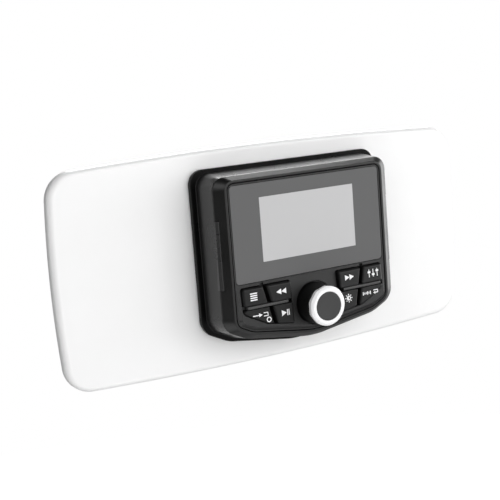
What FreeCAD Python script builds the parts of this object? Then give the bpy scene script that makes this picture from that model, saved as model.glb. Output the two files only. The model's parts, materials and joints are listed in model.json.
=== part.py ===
import FreeCAD, Part
import math
import os

from FreeCAD import Vector

# Gauge-style marine stereo on its mounting board, in millimetres.
# The origin is on the rear barrel's axis, in the plane of the board's back.
# The front faces -Y, +X is to the right as the user sees it, +Z is up.
# Depths are counted from the face, backwards: deep(d) turns one into a Y.

# Board
board_width = 288.0
board_height = 134.3
board_thickness = 6.4
board_shift = -9.8
board_bulge_long = 3.2
board_bulge_short = 1.6
board_corner_r = 17.0
board_edge_r = 3.6

# Front outline at the groove between the trim and the fascia
opening_half_width = 54.2
opening_top = 48.1
shoulder_z = -36.3
shoulder_width = 10.5
shoulder_drop = 5.2
chin_drop = 6.6
chin_x = opening_half_width - shoulder_width
chin_z = shoulder_z - shoulder_drop
apex_z = chin_z - chin_drop
opening_radii = (4.5, 6.0, 15.0, 48.0)
smallest_radius = 0.4

# How far each edge of an outline lies outside that of the opening: side, top, shoulder, chin.
# Its corners' radii grow with it, up to a limit.
lip_grow = (1.5, 1.3, 1.4, 1.4)
bevel_grow = (7.2, 3.8, 4.9, 4.5)
draft_grow = (1.3, 1.55, 2.2, 2.8)
flange_grow = (3.2, 2.2, 3.0, 2.1)
radius_growth = 4.2

# Depths behind the face
face_stand_off = 26.0
lip_proud = 0.25
bevel_depth = 4.0
trim_edge = 0.4
trim_gap = 0.3
flange_depth = 22.0
gasket_thickness = 1.2
housing_wall = 2.4
gasket_inset = 0.35

# Pry notches in the sides of the trim
notch_top_z = 27.0
notch_bottom_z = -14.5
notch_depth = 2.8
notch_gap = 0.35
land_length = 6.0
land_below = 0.1

# Trim moulding
trim_inner_wall = 1.6
trim_wall = 1.3
trim_lip_wall = 1.8
clip_length = 9.0
clip_thickness = 1.2
clip_reach = 4.5
clip_gap = 0.3
clip_bead_r = 0.45
clip_bead_margin = 1.0
clip_xs = (-36.0, 0.0, 36.0)
clip_side_z = 7.0
clip_chin_shares = (0.3, 0.75)

# Fascia
groove = 0.6
fascia_thickness = 3.0
key_floor_front = 2.2
key_floor_thickness = 1.6
deck_slope = 0.094
deck_edge_inset = 0.7
deck_bevel_run = 3.2
deck_bevel_rise = 3.4
deck_gap = 0.6
floor_lap = 1.0

# Lens and display
lens_side_rim = 1.4
lens_top_rim = 1.5
lens_bottom_z = -12.1
lens_half_width = opening_half_width - lens_side_rim
lens_top_z = opening_top - lens_top_rim
deck_top_z = lens_bottom_z - deck_gap
lens_corner_r = 2.6
lens_thickness = 1.35
lens_gap = 0.3
lens_below_rim = 0.1
tape_thickness = 0.3
tape_width = 5.0
tape_corner_r = 1.0
display_z = 18.5
view_width = 66.4
view_height = 38.4
window_margin = 1.6
panel_margin = 3.0
panel_thickness = 2.4
frame_wall = 1.4
frame_lip = 0.4
part_gap = 0.1
display_ribbon_width = 16.0
display_ribbon_drop = 3.5
display_ribbon_thickness = 0.5

# Keys
pocket_inner_x = 16.5
pocket_side_rim = 3.5
pocket_outer_x = opening_half_width - pocket_side_rim
pocket_gap = 1.7
pocket_top_z = lens_bottom_z - pocket_gap
pocket_chin_grow = -5.1
pocket_shoulder_grow = -7.4
pocket_radii = (1.2, 1.6, 5.0, 12.0, 1.2)
key_gap = 0.45
key_row_drop = 12.1
rib_z = pocket_top_z - key_row_drop
rib_height = 1.45
rib_inner_gap = 3.4
rib_outer_gap = 2.7
rib_proud = 3.5
rib_round = 0.6
land_proud = 0.3
outer_key_width = 15.4
split_top_x = pocket_outer_x - outer_key_width
split_slope = 0.235
split_gap = 1.2
key_proud = 2.2
key_lean_in = 0.03
key_lean_down = 0.06
key_round = 0.5
key_travel = 1.0
key_rest_gap = 0.3
key_stem_width = 7.0
key_stem_height = 3.6
key_stem_root = 1.5
stem_gap = 0.4
stem_reach = 0.5
low_key_rise = 1.0
low_key_shift = 3.2
mark_width = 2.6
mark_height = 1.2
mark_depth = 1.5

# Rubber keypad and switches
pad_margin = 0.6
pad_thickness = 1.0
pad_wall = 0.8
pad_post_r = 1.3
pad_post_gap = 0.2
switch_size = 3.6
switch_height = 1.6
switch_button_r = 1.0
switch_button_height = 0.5
light_width = 1.6
light_depth = 0.8
light_height = 0.7
light_gap = 0.8

# Knob, with its centre line
knob_drop = 4.9
knob_z = rib_z - knob_drop
knob_recess_r = 13.6
knob_gap = 1.0
knob_skirt_r = knob_recess_r - knob_gap
knob_front_r = 12.0
knob_recess_floor = 1.2
knob_recess_wall = 1.8
knob_recess_rim = 1.5
knob_rear = 0.2
knob_ring_depth = 12.2
knob_cap_depth = 16.3
knob_wall = 1.7
knob_travel = 0.5
ring_r = 12.1
ring_face_r = 10.5
ring_inner_r = 8.75
ring_sides = 10
ring_round = 1.2
ring_below_cap = 0.1
cap_thickness = 1.0
cap_gap = 0.1
knob_boss_r = 5.0
knob_blind = 0.4

# Encoder
encoder_width = 12.4
encoder_bush_r = 3.5
encoder_bush_depth = 3.4
encoder_hole_gap = 0.1
encoder_seat_r = 9.3
shaft_seat_depth = 3.0
shaft_r = 3.0
shaft_gap = 0.05
plunger_r = 2.0
plunger_height = 1.2
nut_flats = 10.0
nut_thickness = 1.8
seal_width = 1.6
seal_thickness = 1.0
seal_gap = 1.2

# Boards behind the face
control_board_depth = 9.6
control_board_thickness = 1.6
control_board_grow = -3.2
board_boss_r = 2.0
board_screw_upper = (25.0, 3.0)
board_screw_lower = (12.0, 5.9)
board_screw_r = 0.9
board_head_r = 1.8
board_head_height = 1.2
fascia_post_r = 2.6
fascia_post_upper = (7.2, 5.1)
fascia_post_lower = (5.2, 2.8)
fascia_screw_r = 1.2
fascia_head_r = 2.2
fascia_head_room = 0.2
fascia_head_height = 1.3
screw_gap = 0.1
screw_bite = 4.5
screw_end_gap = 0.3

# Mounting screws under the trim
mount_screw_out = 2.1
mount_screw_down = 9.6
mount_screw_up = 12.3
mount_screw_r = 1.5
mount_head_r = 2.3
mount_head_height = 2.0
mount_head_depth = 5.0
mount_boss_r = 3.3
mount_screw_tip = 1.0
thread_gap = 0.05
cross_length = 3.2
cross_width = 0.7
cross_depth = 0.8

# Barrel
barrel_r = 43.0
barrel_wall = 2.6
barrel_length = 62.0
collar_height = 0.5
barrel_collar_r = barrel_r + collar_height
barrel_board_gap = 0.6
barrel_gasket_gap = 0.4
housing_window_r = 34.0
barrel_boss_r = 3.0
barrel_boss_inset = 4.6
barrel_boss_circle = barrel_r - barrel_boss_inset
barrel_boss_length = 14.0
barrel_boss_angles = (20.0, 160.0, 200.0, 340.0)
barrel_screw_r = 1.2
barrel_head_r = 2.2
barrel_head_height = 1.4
barrel_screw_room = 2.0
seal_circle = barrel_r - barrel_wall / 2
seal_ring_width = 1.1
seal_ring_depth = 0.95
seal_groove_gap = 0.05

# Main board and what it carries
main_board_gap = 2.0
main_board_r = barrel_r - barrel_wall - main_board_gap
main_board_back = 16.6
main_board_thickness = 1.6
stand_off_r = 2.6
stand_off_points = ((-34.5, 10.0), (34.5, 10.0), (-33.0, -14.0), (31.0, -19.5))
ribbon_width = 20.0
ribbon_thickness = 0.4
link_wall = 2.0
link_depth = 3.6
link_height = 5.0
capacitor_xs = (-13.0, 0.0, 13.0)
capacitor_z = 22.0
capacitor_r = 5.0
capacitor_length = 20.0

# Heat sink, at the barrel's back
sink_half_width = 26.0
sink_bottom_z = 3.0
sink_top_z = 28.5
sink_flange = 3.4
sink_flange_thickness = 3.2
sink_hole_gap = 0.3
fin_count = 9
fin_thickness = 1.6
fin_reach = 11.0
sink_screw_r = 1.0
sink_head_r = 1.6
sink_head_height = 1.2
sink_root_below = 1.0
chip_width = 22.0
chip_height = 12.0

# Modules on the main board: centre x, centre z, width, height, depth
tuner_at = (-18.0, -17.0, 24.0, 18.0, 7.0)
radio_at = (17.0, -17.0, 18.0, 14.0, 2.6)

# Rear sockets: centre x, centre z, width, height
speaker_socket_at = (-12.0, -10.0, 30.0, 13.0)
power_socket_at = (14.5, -10.0, 15.0, 13.0)
data_socket_at = (17.0, -25.5, 15.0, 7.6)
antenna_at = (30.5, -5.5)
antenna_r = 6.2
antenna_bore_r = 4.7
antenna_bore_depth = 9.0
line_socket_xs = (-20.0, -8.0, 4.0)
line_socket_z = -25.0
line_socket_r = 4.1
line_root_r = 4.6
line_socket_proud = 9.0
line_bore_r = 1.6
line_bore_depth = 10.0
socket_wall = 1.4
socket_cavity = 11.0
socket_proud = 3.0
socket_gap = 0.2
pin_size = 1.2
pin_length = 3.0
pin_pitch = 3.4
tongue_margin = 1.5
tongue_height = 1.6

# Derived places
face_y = -board_thickness - face_stand_off
housing_front = bevel_depth + trim_edge + trim_gap
barrel_front = face_stand_off - gasket_thickness
barrel_back = barrel_front + barrel_length
barrel_floor = barrel_back - barrel_wall
main_board_front = barrel_floor - main_board_back - main_board_thickness
lens_seat = lens_below_rim + lens_thickness + tape_thickness
panel_front = fascia_thickness + part_gap
panel_back = panel_front + panel_thickness
stem_tip = key_floor_front + key_floor_thickness + stem_reach
key_back = key_floor_front - key_travel - key_rest_gap
pad_front = stem_tip + key_travel + key_rest_gap
switch_front = control_board_depth - switch_height
shaft_tip = knob_ring_depth - knob_wall - knob_blind
fascia_seat = barrel_front - fascia_head_height - part_gap
control_board_back = control_board_depth + control_board_thickness
far = 200.0
over = 1.0
root = 0.5
nodes = {}


def deep(depth):
    return face_y + depth


def box(x0, x1, d0, d1, z0, z1):
    return Part.makeBox(x1 - x0, d1 - d0, z1 - z0, Vector(x0, deep(d0), z0))


def rod(x, z, r, d0, d1, r_back=None):
    """A round bar along Y, or a cone if it ends in another radius."""
    base = Vector(x, deep(d0), z)
    if r_back is None or r_back == r:
        return Part.makeCylinder(r, d1 - d0, base, Vector(0, 1, 0))
    return Part.makeCone(r, r_back, d1 - d0, base, Vector(0, 1, 0))


def ring(x, z, r_out, r_in, d0, d1):
    return rod(x, z, r_out, d0, d1).cut(rod(x, z, r_in, d0 - 1, d1 + 1))


def join(shapes):
    first = shapes[0]
    if len(shapes) == 1:
        return first
    return first.multiFuse(shapes[1:]).removeSplitter()


def mirrored(shape):
    return shape.mirror(Vector(0, 0, 0), Vector(1, 0, 0))


def rounded_wire(corners, depth):
    """A closed outline of (x, z, radius) corners, with a tangent arc at each."""
    count = len(corners)
    tangents = []
    for i in range(count):
        x, z, r = corners[i]
        here = Vector(x, deep(depth), z)
        before = Vector(corners[i - 1][0], deep(depth), corners[i - 1][1]) - here
        after = Vector(corners[(i + 1) % count][0], deep(depth), corners[(i + 1) % count][1]) - here
        before.normalize()
        after.normalize()
        half = before.getAngle(after) / 2
        reach = r / math.tan(half)
        middle = before + after
        middle.normalize()
        crown = here + middle * (r / math.sin(half) - r)
        tangents.append((here + before * reach, crown, here + after * reach))
    edges = []
    for i in range(count):
        start, crown, end = tangents[i]
        edges.append(Part.Arc(start, crown, end).toShape())
        following = tangents[(i + 1) % count][0]
        if end.distanceToPoint(following) > 1e-6:
            edges.append(Part.LineSegment(end, following).toShape())
    return Part.Wire(edges)


def prism(wire, length):
    return Part.Face(wire).extrude(Vector(0, length, 0))


def block(half_width, z0, z1, radius, d0, d1):
    """A plate with rounded corners, centred on x = 0."""
    corners = ((-half_width, z0, radius), (half_width, z0, radius),
               (half_width, z1, radius), (-half_width, z1, radius))
    return prism(rounded_wire(corners, d0), d1 - d0)


def crossing(p, u, q, v):
    """Where the line through p along u meets the line through q along v, in x and z."""
    det = u[0] * v[1] - u[1] * v[0]
    s = ((q[0] - p[0]) * v[1] - (q[1] - p[1]) * v[0]) / det
    return p[0] + s * u[0], p[1] + s * u[1]


def moved_line(start, end, out):
    """A point and the direction of an edge moved outwards by out."""
    dx = end[0] - start[0]
    dz = end[1] - start[1]
    length = math.hypot(dx, dz)
    return (start[0] - dz * out / length, start[1] + dx * out / length), (dx, dz)


def outline_corners(grow):
    """The right half's corners of the front outline, moved out by side, top, shoulder, chin."""
    side, top, shoulder, chin = grow
    x_side = opening_half_width + side
    z_top = opening_top + top
    shoulder_line = moved_line((opening_half_width, shoulder_z), (chin_x, chin_z), shoulder)
    chin_line = moved_line((chin_x, chin_z), (0.0, apex_z), chin)
    low_side = crossing((x_side, 0.0), (0.0, 1.0), *shoulder_line)
    chin_corner = crossing(*shoulder_line, *chin_line)
    apex = crossing((0.0, 0.0), (0.0, 1.0), *chin_line)
    return (x_side, z_top), low_side, chin_corner, apex


def front_wire(grow, depth):
    """The whole front outline, grown, at a depth. Its corners grow with their edges, up to a limit."""
    top, low, chin, apex = outline_corners(grow)
    grown = (min(grow[0], grow[1]), min(grow[0], grow[2]), grow[2], grow[3])
    r = [max(smallest_radius, opening_radii[i] + min(grown[i], radius_growth)) for i in range(4)]
    right = [(top[0], top[1], r[0]), (low[0], low[1], r[1]), (chin[0], chin[1], r[2])]
    left = [(-x, z, radius) for x, z, radius in reversed(right)]
    return rounded_wire(right + [(apex[0], apex[1], r[3])] + left, depth)


def front_prism(grow, d0, d1):
    return prism(front_wire(grow, d0), d1 - d0)


def front_taper(grow0, d0, grow1, d1):
    return Part.makeLoft([front_wire(grow0, d0), front_wire(grow1, d1)], True, True)


def added(grow, extra):
    if isinstance(extra, (int, float)):
        extra = (extra,) * 4
    return tuple(a + b for a, b in zip(grow, extra))


def both_sides(points):
    return [(s * x, z) for x, z in points for s in (1, -1)]


def keep(name, shape):
    nodes[name] = shape


def housing_rear_grow():
    return added(bevel_grow, draft_grow)


def mount_points():
    x = opening_half_width + mount_screw_out
    return both_sides([(x, opening_top - mount_screw_down), (x, shoulder_z + mount_screw_up)])


def board_screw_points():
    """Two above the display's frame and two below it."""
    low = display_z - view_height / 2 - panel_margin - frame_wall
    return both_sides([(board_screw_upper[0], opening_top - board_screw_upper[1]),
                       (board_screw_lower[0], low - board_screw_lower[1])])


def fascia_post_points():
    """One near each top corner, one just above each key pocket."""
    return both_sides([(opening_half_width - fascia_post_upper[0], opening_top - fascia_post_upper[1]),
                       (opening_half_width - fascia_post_lower[0], lens_bottom_z + fascia_post_lower[1])])


def board_solid():
    """A board with slightly convex edges, large corners and a rounded front edge."""
    half_width = board_width / 2 - board_bulge_short
    half_height = board_height / 2 - board_bulge_long
    y = deep(face_stand_off)
    r = board_corner_r
    k = r * (1 - math.sqrt(0.5))
    # each corner is an arc between its two sides, each side an arc through its bulge
    corners = []
    for sx, sz in ((1, 1), (-1, 1), (-1, -1), (1, -1)):
        on_side = Vector(board_shift + sx * half_width, y, sz * (half_height - r))
        crown = Vector(board_shift + sx * (half_width - k), y, sz * (half_height - k))
        on_long = Vector(board_shift + sx * (half_width - r), y, sz * half_height)
        corners.append((on_side, crown, on_long) if sx * sz > 0 else (on_long, crown, on_side))
    bulges = (Vector(board_shift, y, board_height / 2), Vector(board_shift - board_width / 2, y, 0),
              Vector(board_shift, y, -board_height / 2), Vector(board_shift + board_width / 2, y, 0))
    edges = []
    for i in range(4):
        start, crown, end = corners[i]
        edges.append(Part.Arc(start, crown, end).toShape())
        edges.append(Part.Arc(end, bulges[i], corners[(i + 1) % 4][0]).toShape())
    slab = prism(Part.Wire(edges), board_thickness)
    front_edges = [e for e in slab.Edges if e.BoundBox.YMax < y + board_edge_r / 2]
    return slab.makeFillet(board_edge_r, front_edges)


def make_board():
    back = face_stand_off + board_thickness
    hole = rod(0, 0, barrel_collar_r + barrel_board_gap, face_stand_off - over, back + over)
    slab = board_solid().cut(hole)
    for x, z in mount_points():
        slab = slab.cut(rod(x, z, mount_screw_r + thread_gap, face_stand_off - over, back + over))
    keep("mounting_board", slab)


def make_gasket():
    grow = added(added(housing_rear_grow(), flange_grow), -gasket_inset)
    sheet = front_prism(grow, barrel_front, face_stand_off)
    cutters = [rod(0, 0, barrel_collar_r + barrel_gasket_gap, barrel_front - over, face_stand_off + over)]
    for x, z in mount_points():
        cutters.append(rod(x, z, mount_screw_r + screw_gap, barrel_front - over, face_stand_off + over))
    keep("dash_gasket", sheet.cut(cutters))


def make_housing():
    rear = housing_rear_grow()
    wall_front = added(bevel_grow, -housing_wall)
    wall_rear = added(rear, -housing_wall)
    shell = front_taper(bevel_grow, housing_front, rear, flange_depth)
    flange = front_prism(added(rear, flange_grow), flange_depth, barrel_front)
    body = join([shell, flange]).cut(front_taper(wall_front, housing_front, wall_rear, flange_depth))
    # lands that fill the pry notches of the trim, a little below its bevel
    land_grow = added(bevel_grow, -land_below)
    bevel = front_taper(added(lip_grow, -land_below), -lip_proud, land_grow, bevel_depth)
    edge = front_prism(land_grow, bevel_depth, housing_front + land_length)
    land = join([bevel, edge]).cut(front_prism(wall_front, 0, housing_front + land_length + over))
    for side in (1, -1):
        x0, x1 = sorted((side * opening_half_width, side * far))
        zone = box(x0, x1, notch_depth, housing_front + land_length,
                   notch_bottom_z + notch_gap, notch_top_z - notch_gap)
        body = body.fuse(land.common(zone))
    # bosses for the mounting screws, posts for the fascia screws, run half way into the wall
    limit = front_taper(added(bevel_grow, -housing_wall / 2), housing_front,
                        added(rear, -housing_wall / 2), flange_depth + root)
    seat = mount_head_depth + mount_head_height
    for x, z in mount_points():
        body = body.fuse(rod(x, z, mount_boss_r, seat, flange_depth + root).common(limit))
    for x, z in fascia_post_points():
        body = body.fuse(rod(x, z, fascia_post_r, control_board_back, flange_depth + root).common(limit))
    cutters = [rod(0, 0, housing_window_r, flange_depth - over, face_stand_off)]
    for x, z in mount_points():
        cutters.append(rod(x, z, mount_screw_r + screw_gap, housing_front, face_stand_off))
    for x, z in fascia_post_points():
        cutters.append(rod(x, z, fascia_screw_r + screw_gap, control_board_depth, face_stand_off))
        cutters.append(rod(x, z, fascia_head_r + fascia_head_room, fascia_seat, face_stand_off))
    for x, z in barrel_boss_points():
        cutters.append(rod(x, z, barrel_screw_r + screw_gap, flange_depth - over, face_stand_off))
    keep("front_housing", body.removeSplitter().cut(cutters))


def clip_places():
    """Middle of each trim clip on the inside of the housing wall, and how far it is turned."""
    top, low, chin, apex = outline_corners(added(bevel_grow, -housing_wall - clip_gap))
    slope = math.atan2(chin[1] - apex[1], chin[0] - apex[0])
    places = [((x, top[1]), 0.0) for x in clip_xs]
    for share in clip_chin_shares:
        x = apex[0] + (chin[0] - apex[0]) * share
        z = apex[1] + (chin[1] - apex[1]) * share
        places.append(((x, z), slope + math.pi))
        places.append(((-x, z), math.pi - slope))
    for side in (1, -1):
        places.append(((side * top[0], clip_side_z), -side * math.pi / 2))
    return places


def clip_tongue():
    """A snap tongue with a bead near its tip, its outer face at z = 0."""
    half = clip_length / 2
    tongue = Part.makeBox(clip_length, clip_reach + trim_wall, clip_thickness,
                          Vector(-half, deep(bevel_depth - trim_wall), -clip_thickness))
    bead = Part.makeCylinder(clip_bead_r, clip_length - 2 * clip_bead_margin,
                             Vector(clip_bead_margin - half,
                                    deep(bevel_depth + clip_reach - 2 * clip_bead_r),
                                    -clip_thickness), Vector(1, 0, 0))
    return tongue.fuse(bead)


def make_trim():
    face = -lip_proud
    back = bevel_depth + trim_edge
    outer = front_taper(lip_grow, face, bevel_grow, bevel_depth)
    body = join([outer, front_prism(bevel_grow, bevel_depth, back)])
    # hollow between the inner wall and the bevel's skin
    hollow_depth = face + trim_lip_wall
    share = (hollow_depth - face) / (bevel_depth - face)
    at_hollow = tuple(a + (b - a) * share - trim_wall for a, b in zip(lip_grow, bevel_grow))
    hollow = join([front_taper(at_hollow, hollow_depth, added(bevel_grow, -trim_wall), bevel_depth),
                   front_prism(added(bevel_grow, -trim_wall), bevel_depth, back + over)])
    hollow = hollow.cut(front_prism((trim_inner_wall,) * 4, face - over, back + 2 * over))
    body = body.cut(hollow).cut(front_prism((0.0,) * 4, face - over, back + over))
    inner_x = opening_half_width + bevel_grow[0] - housing_wall - notch_gap
    for side in (1, -1):
        x0, x1 = sorted((side * inner_x, side * far))
        body = body.cut(box(x0, x1, notch_depth - notch_gap, back + over, notch_bottom_z, notch_top_z))
    # snap clips that reach into the housing, cut to the bevel's underside
    for (x, z), turn in clip_places():
        tongue = clip_tongue()
        tongue.rotate(Vector(0, 0, 0), Vector(0, 1, 0), -math.degrees(turn))
        tongue.translate(Vector(x, 0, z))
        above = tongue.common(outer)
        below = tongue.common(box(-far, far, bevel_depth, far, -far, far))
        body = body.fuse(join([above, below]))
    keep("trim_bezel", body.removeSplitter())


def pocket_corners(shrink):
    """The right key pocket's outline, drawn in by shrink."""
    chin_line = moved_line((chin_x, chin_z), (0.0, apex_z), pocket_chin_grow - shrink)
    shoulder_line = moved_line((opening_half_width, shoulder_z), (chin_x, chin_z),
                               pocket_shoulder_grow - shrink)
    x0 = pocket_inner_x + shrink
    x1 = pocket_outer_x - shrink
    z1 = pocket_top_z - shrink
    inner_low = crossing((x0, 0.0), (0.0, 1.0), *chin_line)
    chin = crossing(*shoulder_line, *chin_line)
    outer_low = crossing((x1, 0.0), (0.0, 1.0), *shoulder_line)
    points = ((x0, z1), (x1, z1), outer_low, chin, inner_low)
    return [(p[0], p[1], r) for p, r in zip(points, pocket_radii)]


def key_face_depth(x, z):
    """Depth of the keys' faces, which lean out towards the knob and downwards."""
    return -key_proud - key_lean_in * (pocket_outer_x - x) - key_lean_down * (pocket_top_z - z)


def split_x(z):
    """Where the slanted gap between the outer and inner keys runs."""
    return split_top_x - split_slope * (pocket_top_z - z)


def key_rows():
    """Lowest and highest z of the top row's cell and of the bottom row's."""
    half = rib_height / 2 + key_gap
    return (rib_z + half, pocket_top_z + over), (apex_z - over, rib_z - half)


def key_cells():
    """The right cluster's four key cells: outer top, inner top, outer low, inner low."""
    cells = []
    front = key_face_depth(0, apex_z) - over
    for low, high in key_rows():
        right_of = [(split_x(z) + split_gap / 2, z) for z in (low, high)]
        left_of = [(split_x(z) - split_gap / 2, z) for z in (low, high)]
        for near, far_x in ((right_of, pocket_outer_x + over), (left_of, 0.0)):
            corners = near + [(far_x, high), (far_x, low)]
            wire = Part.makePolygon([Vector(x, deep(front), z) for x, z in corners + corners[:1]])
            cells.append(prism(wire, key_back - front))
    return cells


def behind_key_faces():
    """Everything behind the right keys' leaning faces."""
    x0, x1 = pocket_inner_x - over, pocket_outer_x + over
    z0, z1 = apex_z - over, pocket_top_z + over
    corners = ((x0, z0), (x1, z0), (x1, z1), (x0, z1), (x0, z0))
    points = [Vector(x, deep(key_face_depth(x, z)), z) for x, z in corners]
    return prism(Part.makePolygon(points), far)


def key_centres():
    """Where each right key's stem stands, in the order of key_cells."""
    upper = (pocket_top_z + rib_z) / 2
    lower = 2 * rib_z - upper + low_key_rise
    places = []
    for z, shift in ((upper, 0.0), (lower, low_key_shift)):
        places.append(((split_x(z) + pocket_outer_x) / 2 - shift, z))
        places.append(((split_x(z) + pocket_inner_x) / 2, z))
    return places


def centred_box(x, z, width, height, d0, d1):
    return box(x - width / 2, x + width / 2, d0, d1, z - height / 2, z + height / 2)


def make_keys():
    front = key_face_depth(0, apex_z) - over
    cap = prism(rounded_wire(pocket_corners(key_gap), front), key_back - front)
    cap = cap.common(behind_key_faces())
    left_names = ("key_menu", "key_rewind", "key_source", "key_play")
    right_names = ("key_preset", "key_forward", "key_band", "key_brightness")
    side_front = key_face_depth(pocket_outer_x, pocket_top_z) / 2
    for i, cell in enumerate(key_cells()):
        key = cap.common(cell)
        rim = [e for e in key.Edges if e.BoundBox.YMax < deep(side_front)]
        key = key.makeFillet(key_round, rim)
        x, z = key_centres()[i]
        stem = centred_box(x, z, key_stem_width, key_stem_height, key_back - key_stem_root, stem_tip)
        key = key.fuse(stem).removeSplitter()
        keep(right_names[i], key)
        keep(left_names[i], mirrored(key))


def make_deck():
    """The raised lower half of the fascia, leaning out towards the bottom, bevelled at its foot."""
    foot = (-groove - deck_edge_inset,) * 4
    deck = front_taper(foot, 0, added(foot, -deck_bevel_run), -deck_bevel_rise)
    low_z = apex_z - over
    profile = [Vector(-far, deep(0), deck_top_z),
               Vector(-far, deep(-deck_slope * (deck_top_z - low_z)), low_z),
               Vector(-far, deep(0), low_z), Vector(-far, deep(0), deck_top_z)]
    return deck.common(Part.Face(Part.makePolygon(profile)).extrude(Vector(2 * far, 0, 0)))


def pocket_features():
    """What fills and what cuts one key pocket: bar, land, stem holes and the mark above."""
    floor = key_floor_front + root
    front = key_face_depth(0, apex_z) - over
    pocket = prism(rounded_wire(pocket_corners(0.0), front), key_floor_front - front)
    z0, z1 = rib_z - rib_height / 2, rib_z + rib_height / 2
    rib = box(pocket_inner_x + rib_inner_gap, pocket_outer_x - rib_outer_gap, -rib_proud, floor, z0, z1)
    rib = rib.makeFillet(rib_round, [e for e in rib.Edges if e.BoundBox.YMax < deep(-rib_proud / 2)])
    land = box(pocket_outer_x - rib_outer_gap - root, pocket_outer_x + root, -land_proud, floor, z0, z1)
    holes = [centred_box(x, z, key_stem_width + 2 * stem_gap, key_stem_height + 2 * stem_gap, 0,
                         key_floor_front + key_floor_thickness + over) for x, z in key_centres()]
    x = split_x(pocket_top_z) + split_gap / 2
    mark = box(x - mark_width / 2, x + mark_width / 2, -over, mark_depth,
               pocket_top_z - over, pocket_top_z + mark_height)
    return pocket, rib.fuse(land), holes + [mark]


def make_fascia():
    grow = (-groove,) * 4
    floor_back = key_floor_front + key_floor_thickness
    body = front_prism(grow, 0, fascia_thickness)
    low = front_prism(grow, 0, floor_back)
    body = body.fuse(low.common(box(-far, far, 0, floor_back, -far, deck_top_z - floor_lap)))
    body = body.fuse(make_deck()).removeSplitter()
    seat = block(lens_half_width, lens_bottom_z, lens_top_z, lens_corner_r, -over, lens_seat)
    body = body.cut([seat, display_box(window_margin, -over, fascia_thickness + over)])
    pocket, fill, cutters = pocket_features()
    for turned in (lambda s: s, mirrored):
        body = body.cut(turned(pocket)).fuse(turned(fill))
        body = body.cut([turned(c) for c in cutters])
    # knob recess with the encoder's seat and hole
    recess_back = knob_recess_floor + knob_recess_wall
    floor = rod(0, knob_z, knob_recess_r + knob_recess_rim, root, recess_back)
    body = body.fuse(floor.common(front_prism(grow, 0, recess_back)))
    front = -deck_slope * (deck_top_z - apex_z) - over
    body = body.cut([rod(0, knob_z, knob_recess_r, front, knob_recess_floor),
                     rod(0, knob_z, encoder_seat_r, recess_back, floor_back + over),
                     rod(0, knob_z, encoder_bush_r + encoder_hole_gap, 0, floor_back + over)])
    # bosses for the board screws and the fascia screws
    holes = []
    for points, boss_r, screw_r in ((board_screw_points(), board_boss_r, board_screw_r),
                                    (fascia_post_points(), fascia_post_r, fascia_screw_r)):
        for x, z in points:
            body = body.fuse(rod(x, z, boss_r, fascia_thickness - root, control_board_depth))
            holes.append(rod(x, z, screw_r, control_board_depth - screw_bite, control_board_depth + over))
    keep("fascia", body.removeSplitter().cut(holes))


def make_lens():
    corners = (lens_half_width - lens_gap, lens_bottom_z + lens_gap, lens_top_z - lens_gap,
               lens_corner_r - lens_gap)
    back = lens_below_rim + lens_thickness
    keep("display_lens", block(*corners, lens_below_rim, back))
    tape = block(*corners, back, lens_seat)
    hole = block(lens_half_width - tape_width, lens_bottom_z + tape_width, lens_top_z - tape_width,
                 tape_corner_r, back - over, lens_seat + over)
    keep("lens_tape", tape.cut(hole))


def display_box(margin, d0, d1):
    return centred_box(0, display_z, view_width + 2 * margin, view_height + 2 * margin, d0, d1)


def make_display():
    keep("display_panel", display_box(panel_margin, panel_front, panel_back))
    tray = display_box(panel_margin + frame_wall, panel_front + frame_lip, control_board_depth)
    tray = tray.cut(display_box(panel_margin + part_gap, 0, panel_back))
    keep("display_frame", tray)
    low = display_z - view_height / 2 - panel_margin - frame_wall
    keep("display_ribbon", centred_box(0, low - display_ribbon_drop / 2, display_ribbon_width,
                                       display_ribbon_drop, control_board_depth - display_ribbon_thickness,
                                       control_board_depth))


def make_keypads():
    """One rubber tray behind each key cluster, standing on the control board."""
    shrink = key_gap + pad_margin
    tray = prism(rounded_wire(pocket_corners(shrink), pad_front), control_board_depth - pad_front)
    inner = pad_front + pad_thickness
    tray = tray.cut(prism(rounded_wire(pocket_corners(shrink + pad_wall), inner), far))
    for x, z in key_centres():
        tray = tray.fuse(rod(x, z, pad_post_r, inner - root, switch_front - pad_post_gap))
    keep("keypad_right", tray)
    keep("keypad_left", mirrored(tray))


def make_switches():
    base_front = switch_front + switch_button_height
    switches = []
    lights = []
    for x, z in both_sides(key_centres()):
        base = centred_box(x, z, switch_size, switch_size, base_front, control_board_depth)
        switches.append(base.fuse(rod(x, z, switch_button_r, switch_front, base_front)))
        outward = math.copysign(switch_size / 2 + light_gap + light_width / 2, x)
        lights.append(centred_box(x + outward, z, light_width, light_depth,
                                  control_board_depth - light_height, control_board_depth))
    keep("key_switches", Part.makeCompound(switches))
    keep("key_lights", Part.makeCompound(lights))


def screw(x, z, r, d0, d1, head_r, head_from, head_to):
    return rod(x, z, r, d0, d1).fuse(rod(x, z, head_r, head_from, head_to))


def make_control_board():
    board = front_prism((control_board_grow,) * 4, control_board_depth, control_board_back)
    holes = []
    tip = control_board_depth - screw_bite + screw_end_gap
    small = []
    for x, z in board_screw_points():
        holes.append(rod(x, z, board_screw_r + screw_gap, tip, control_board_back + over))
        small.append(screw(x, z, board_screw_r, tip, control_board_back, board_head_r,
                           control_board_back, control_board_back + board_head_height))
    large = []
    for x, z in fascia_post_points():
        holes.append(rod(x, z, fascia_screw_r + screw_gap, tip, control_board_back + over))
        large.append(screw(x, z, fascia_screw_r, tip, fascia_seat, fascia_head_r,
                           fascia_seat, fascia_seat + fascia_head_height))
    keep("control_board", board.cut(holes))
    keep("board_screws", Part.makeCompound(small))
    keep("fascia_screws", Part.makeCompound(large))


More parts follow.
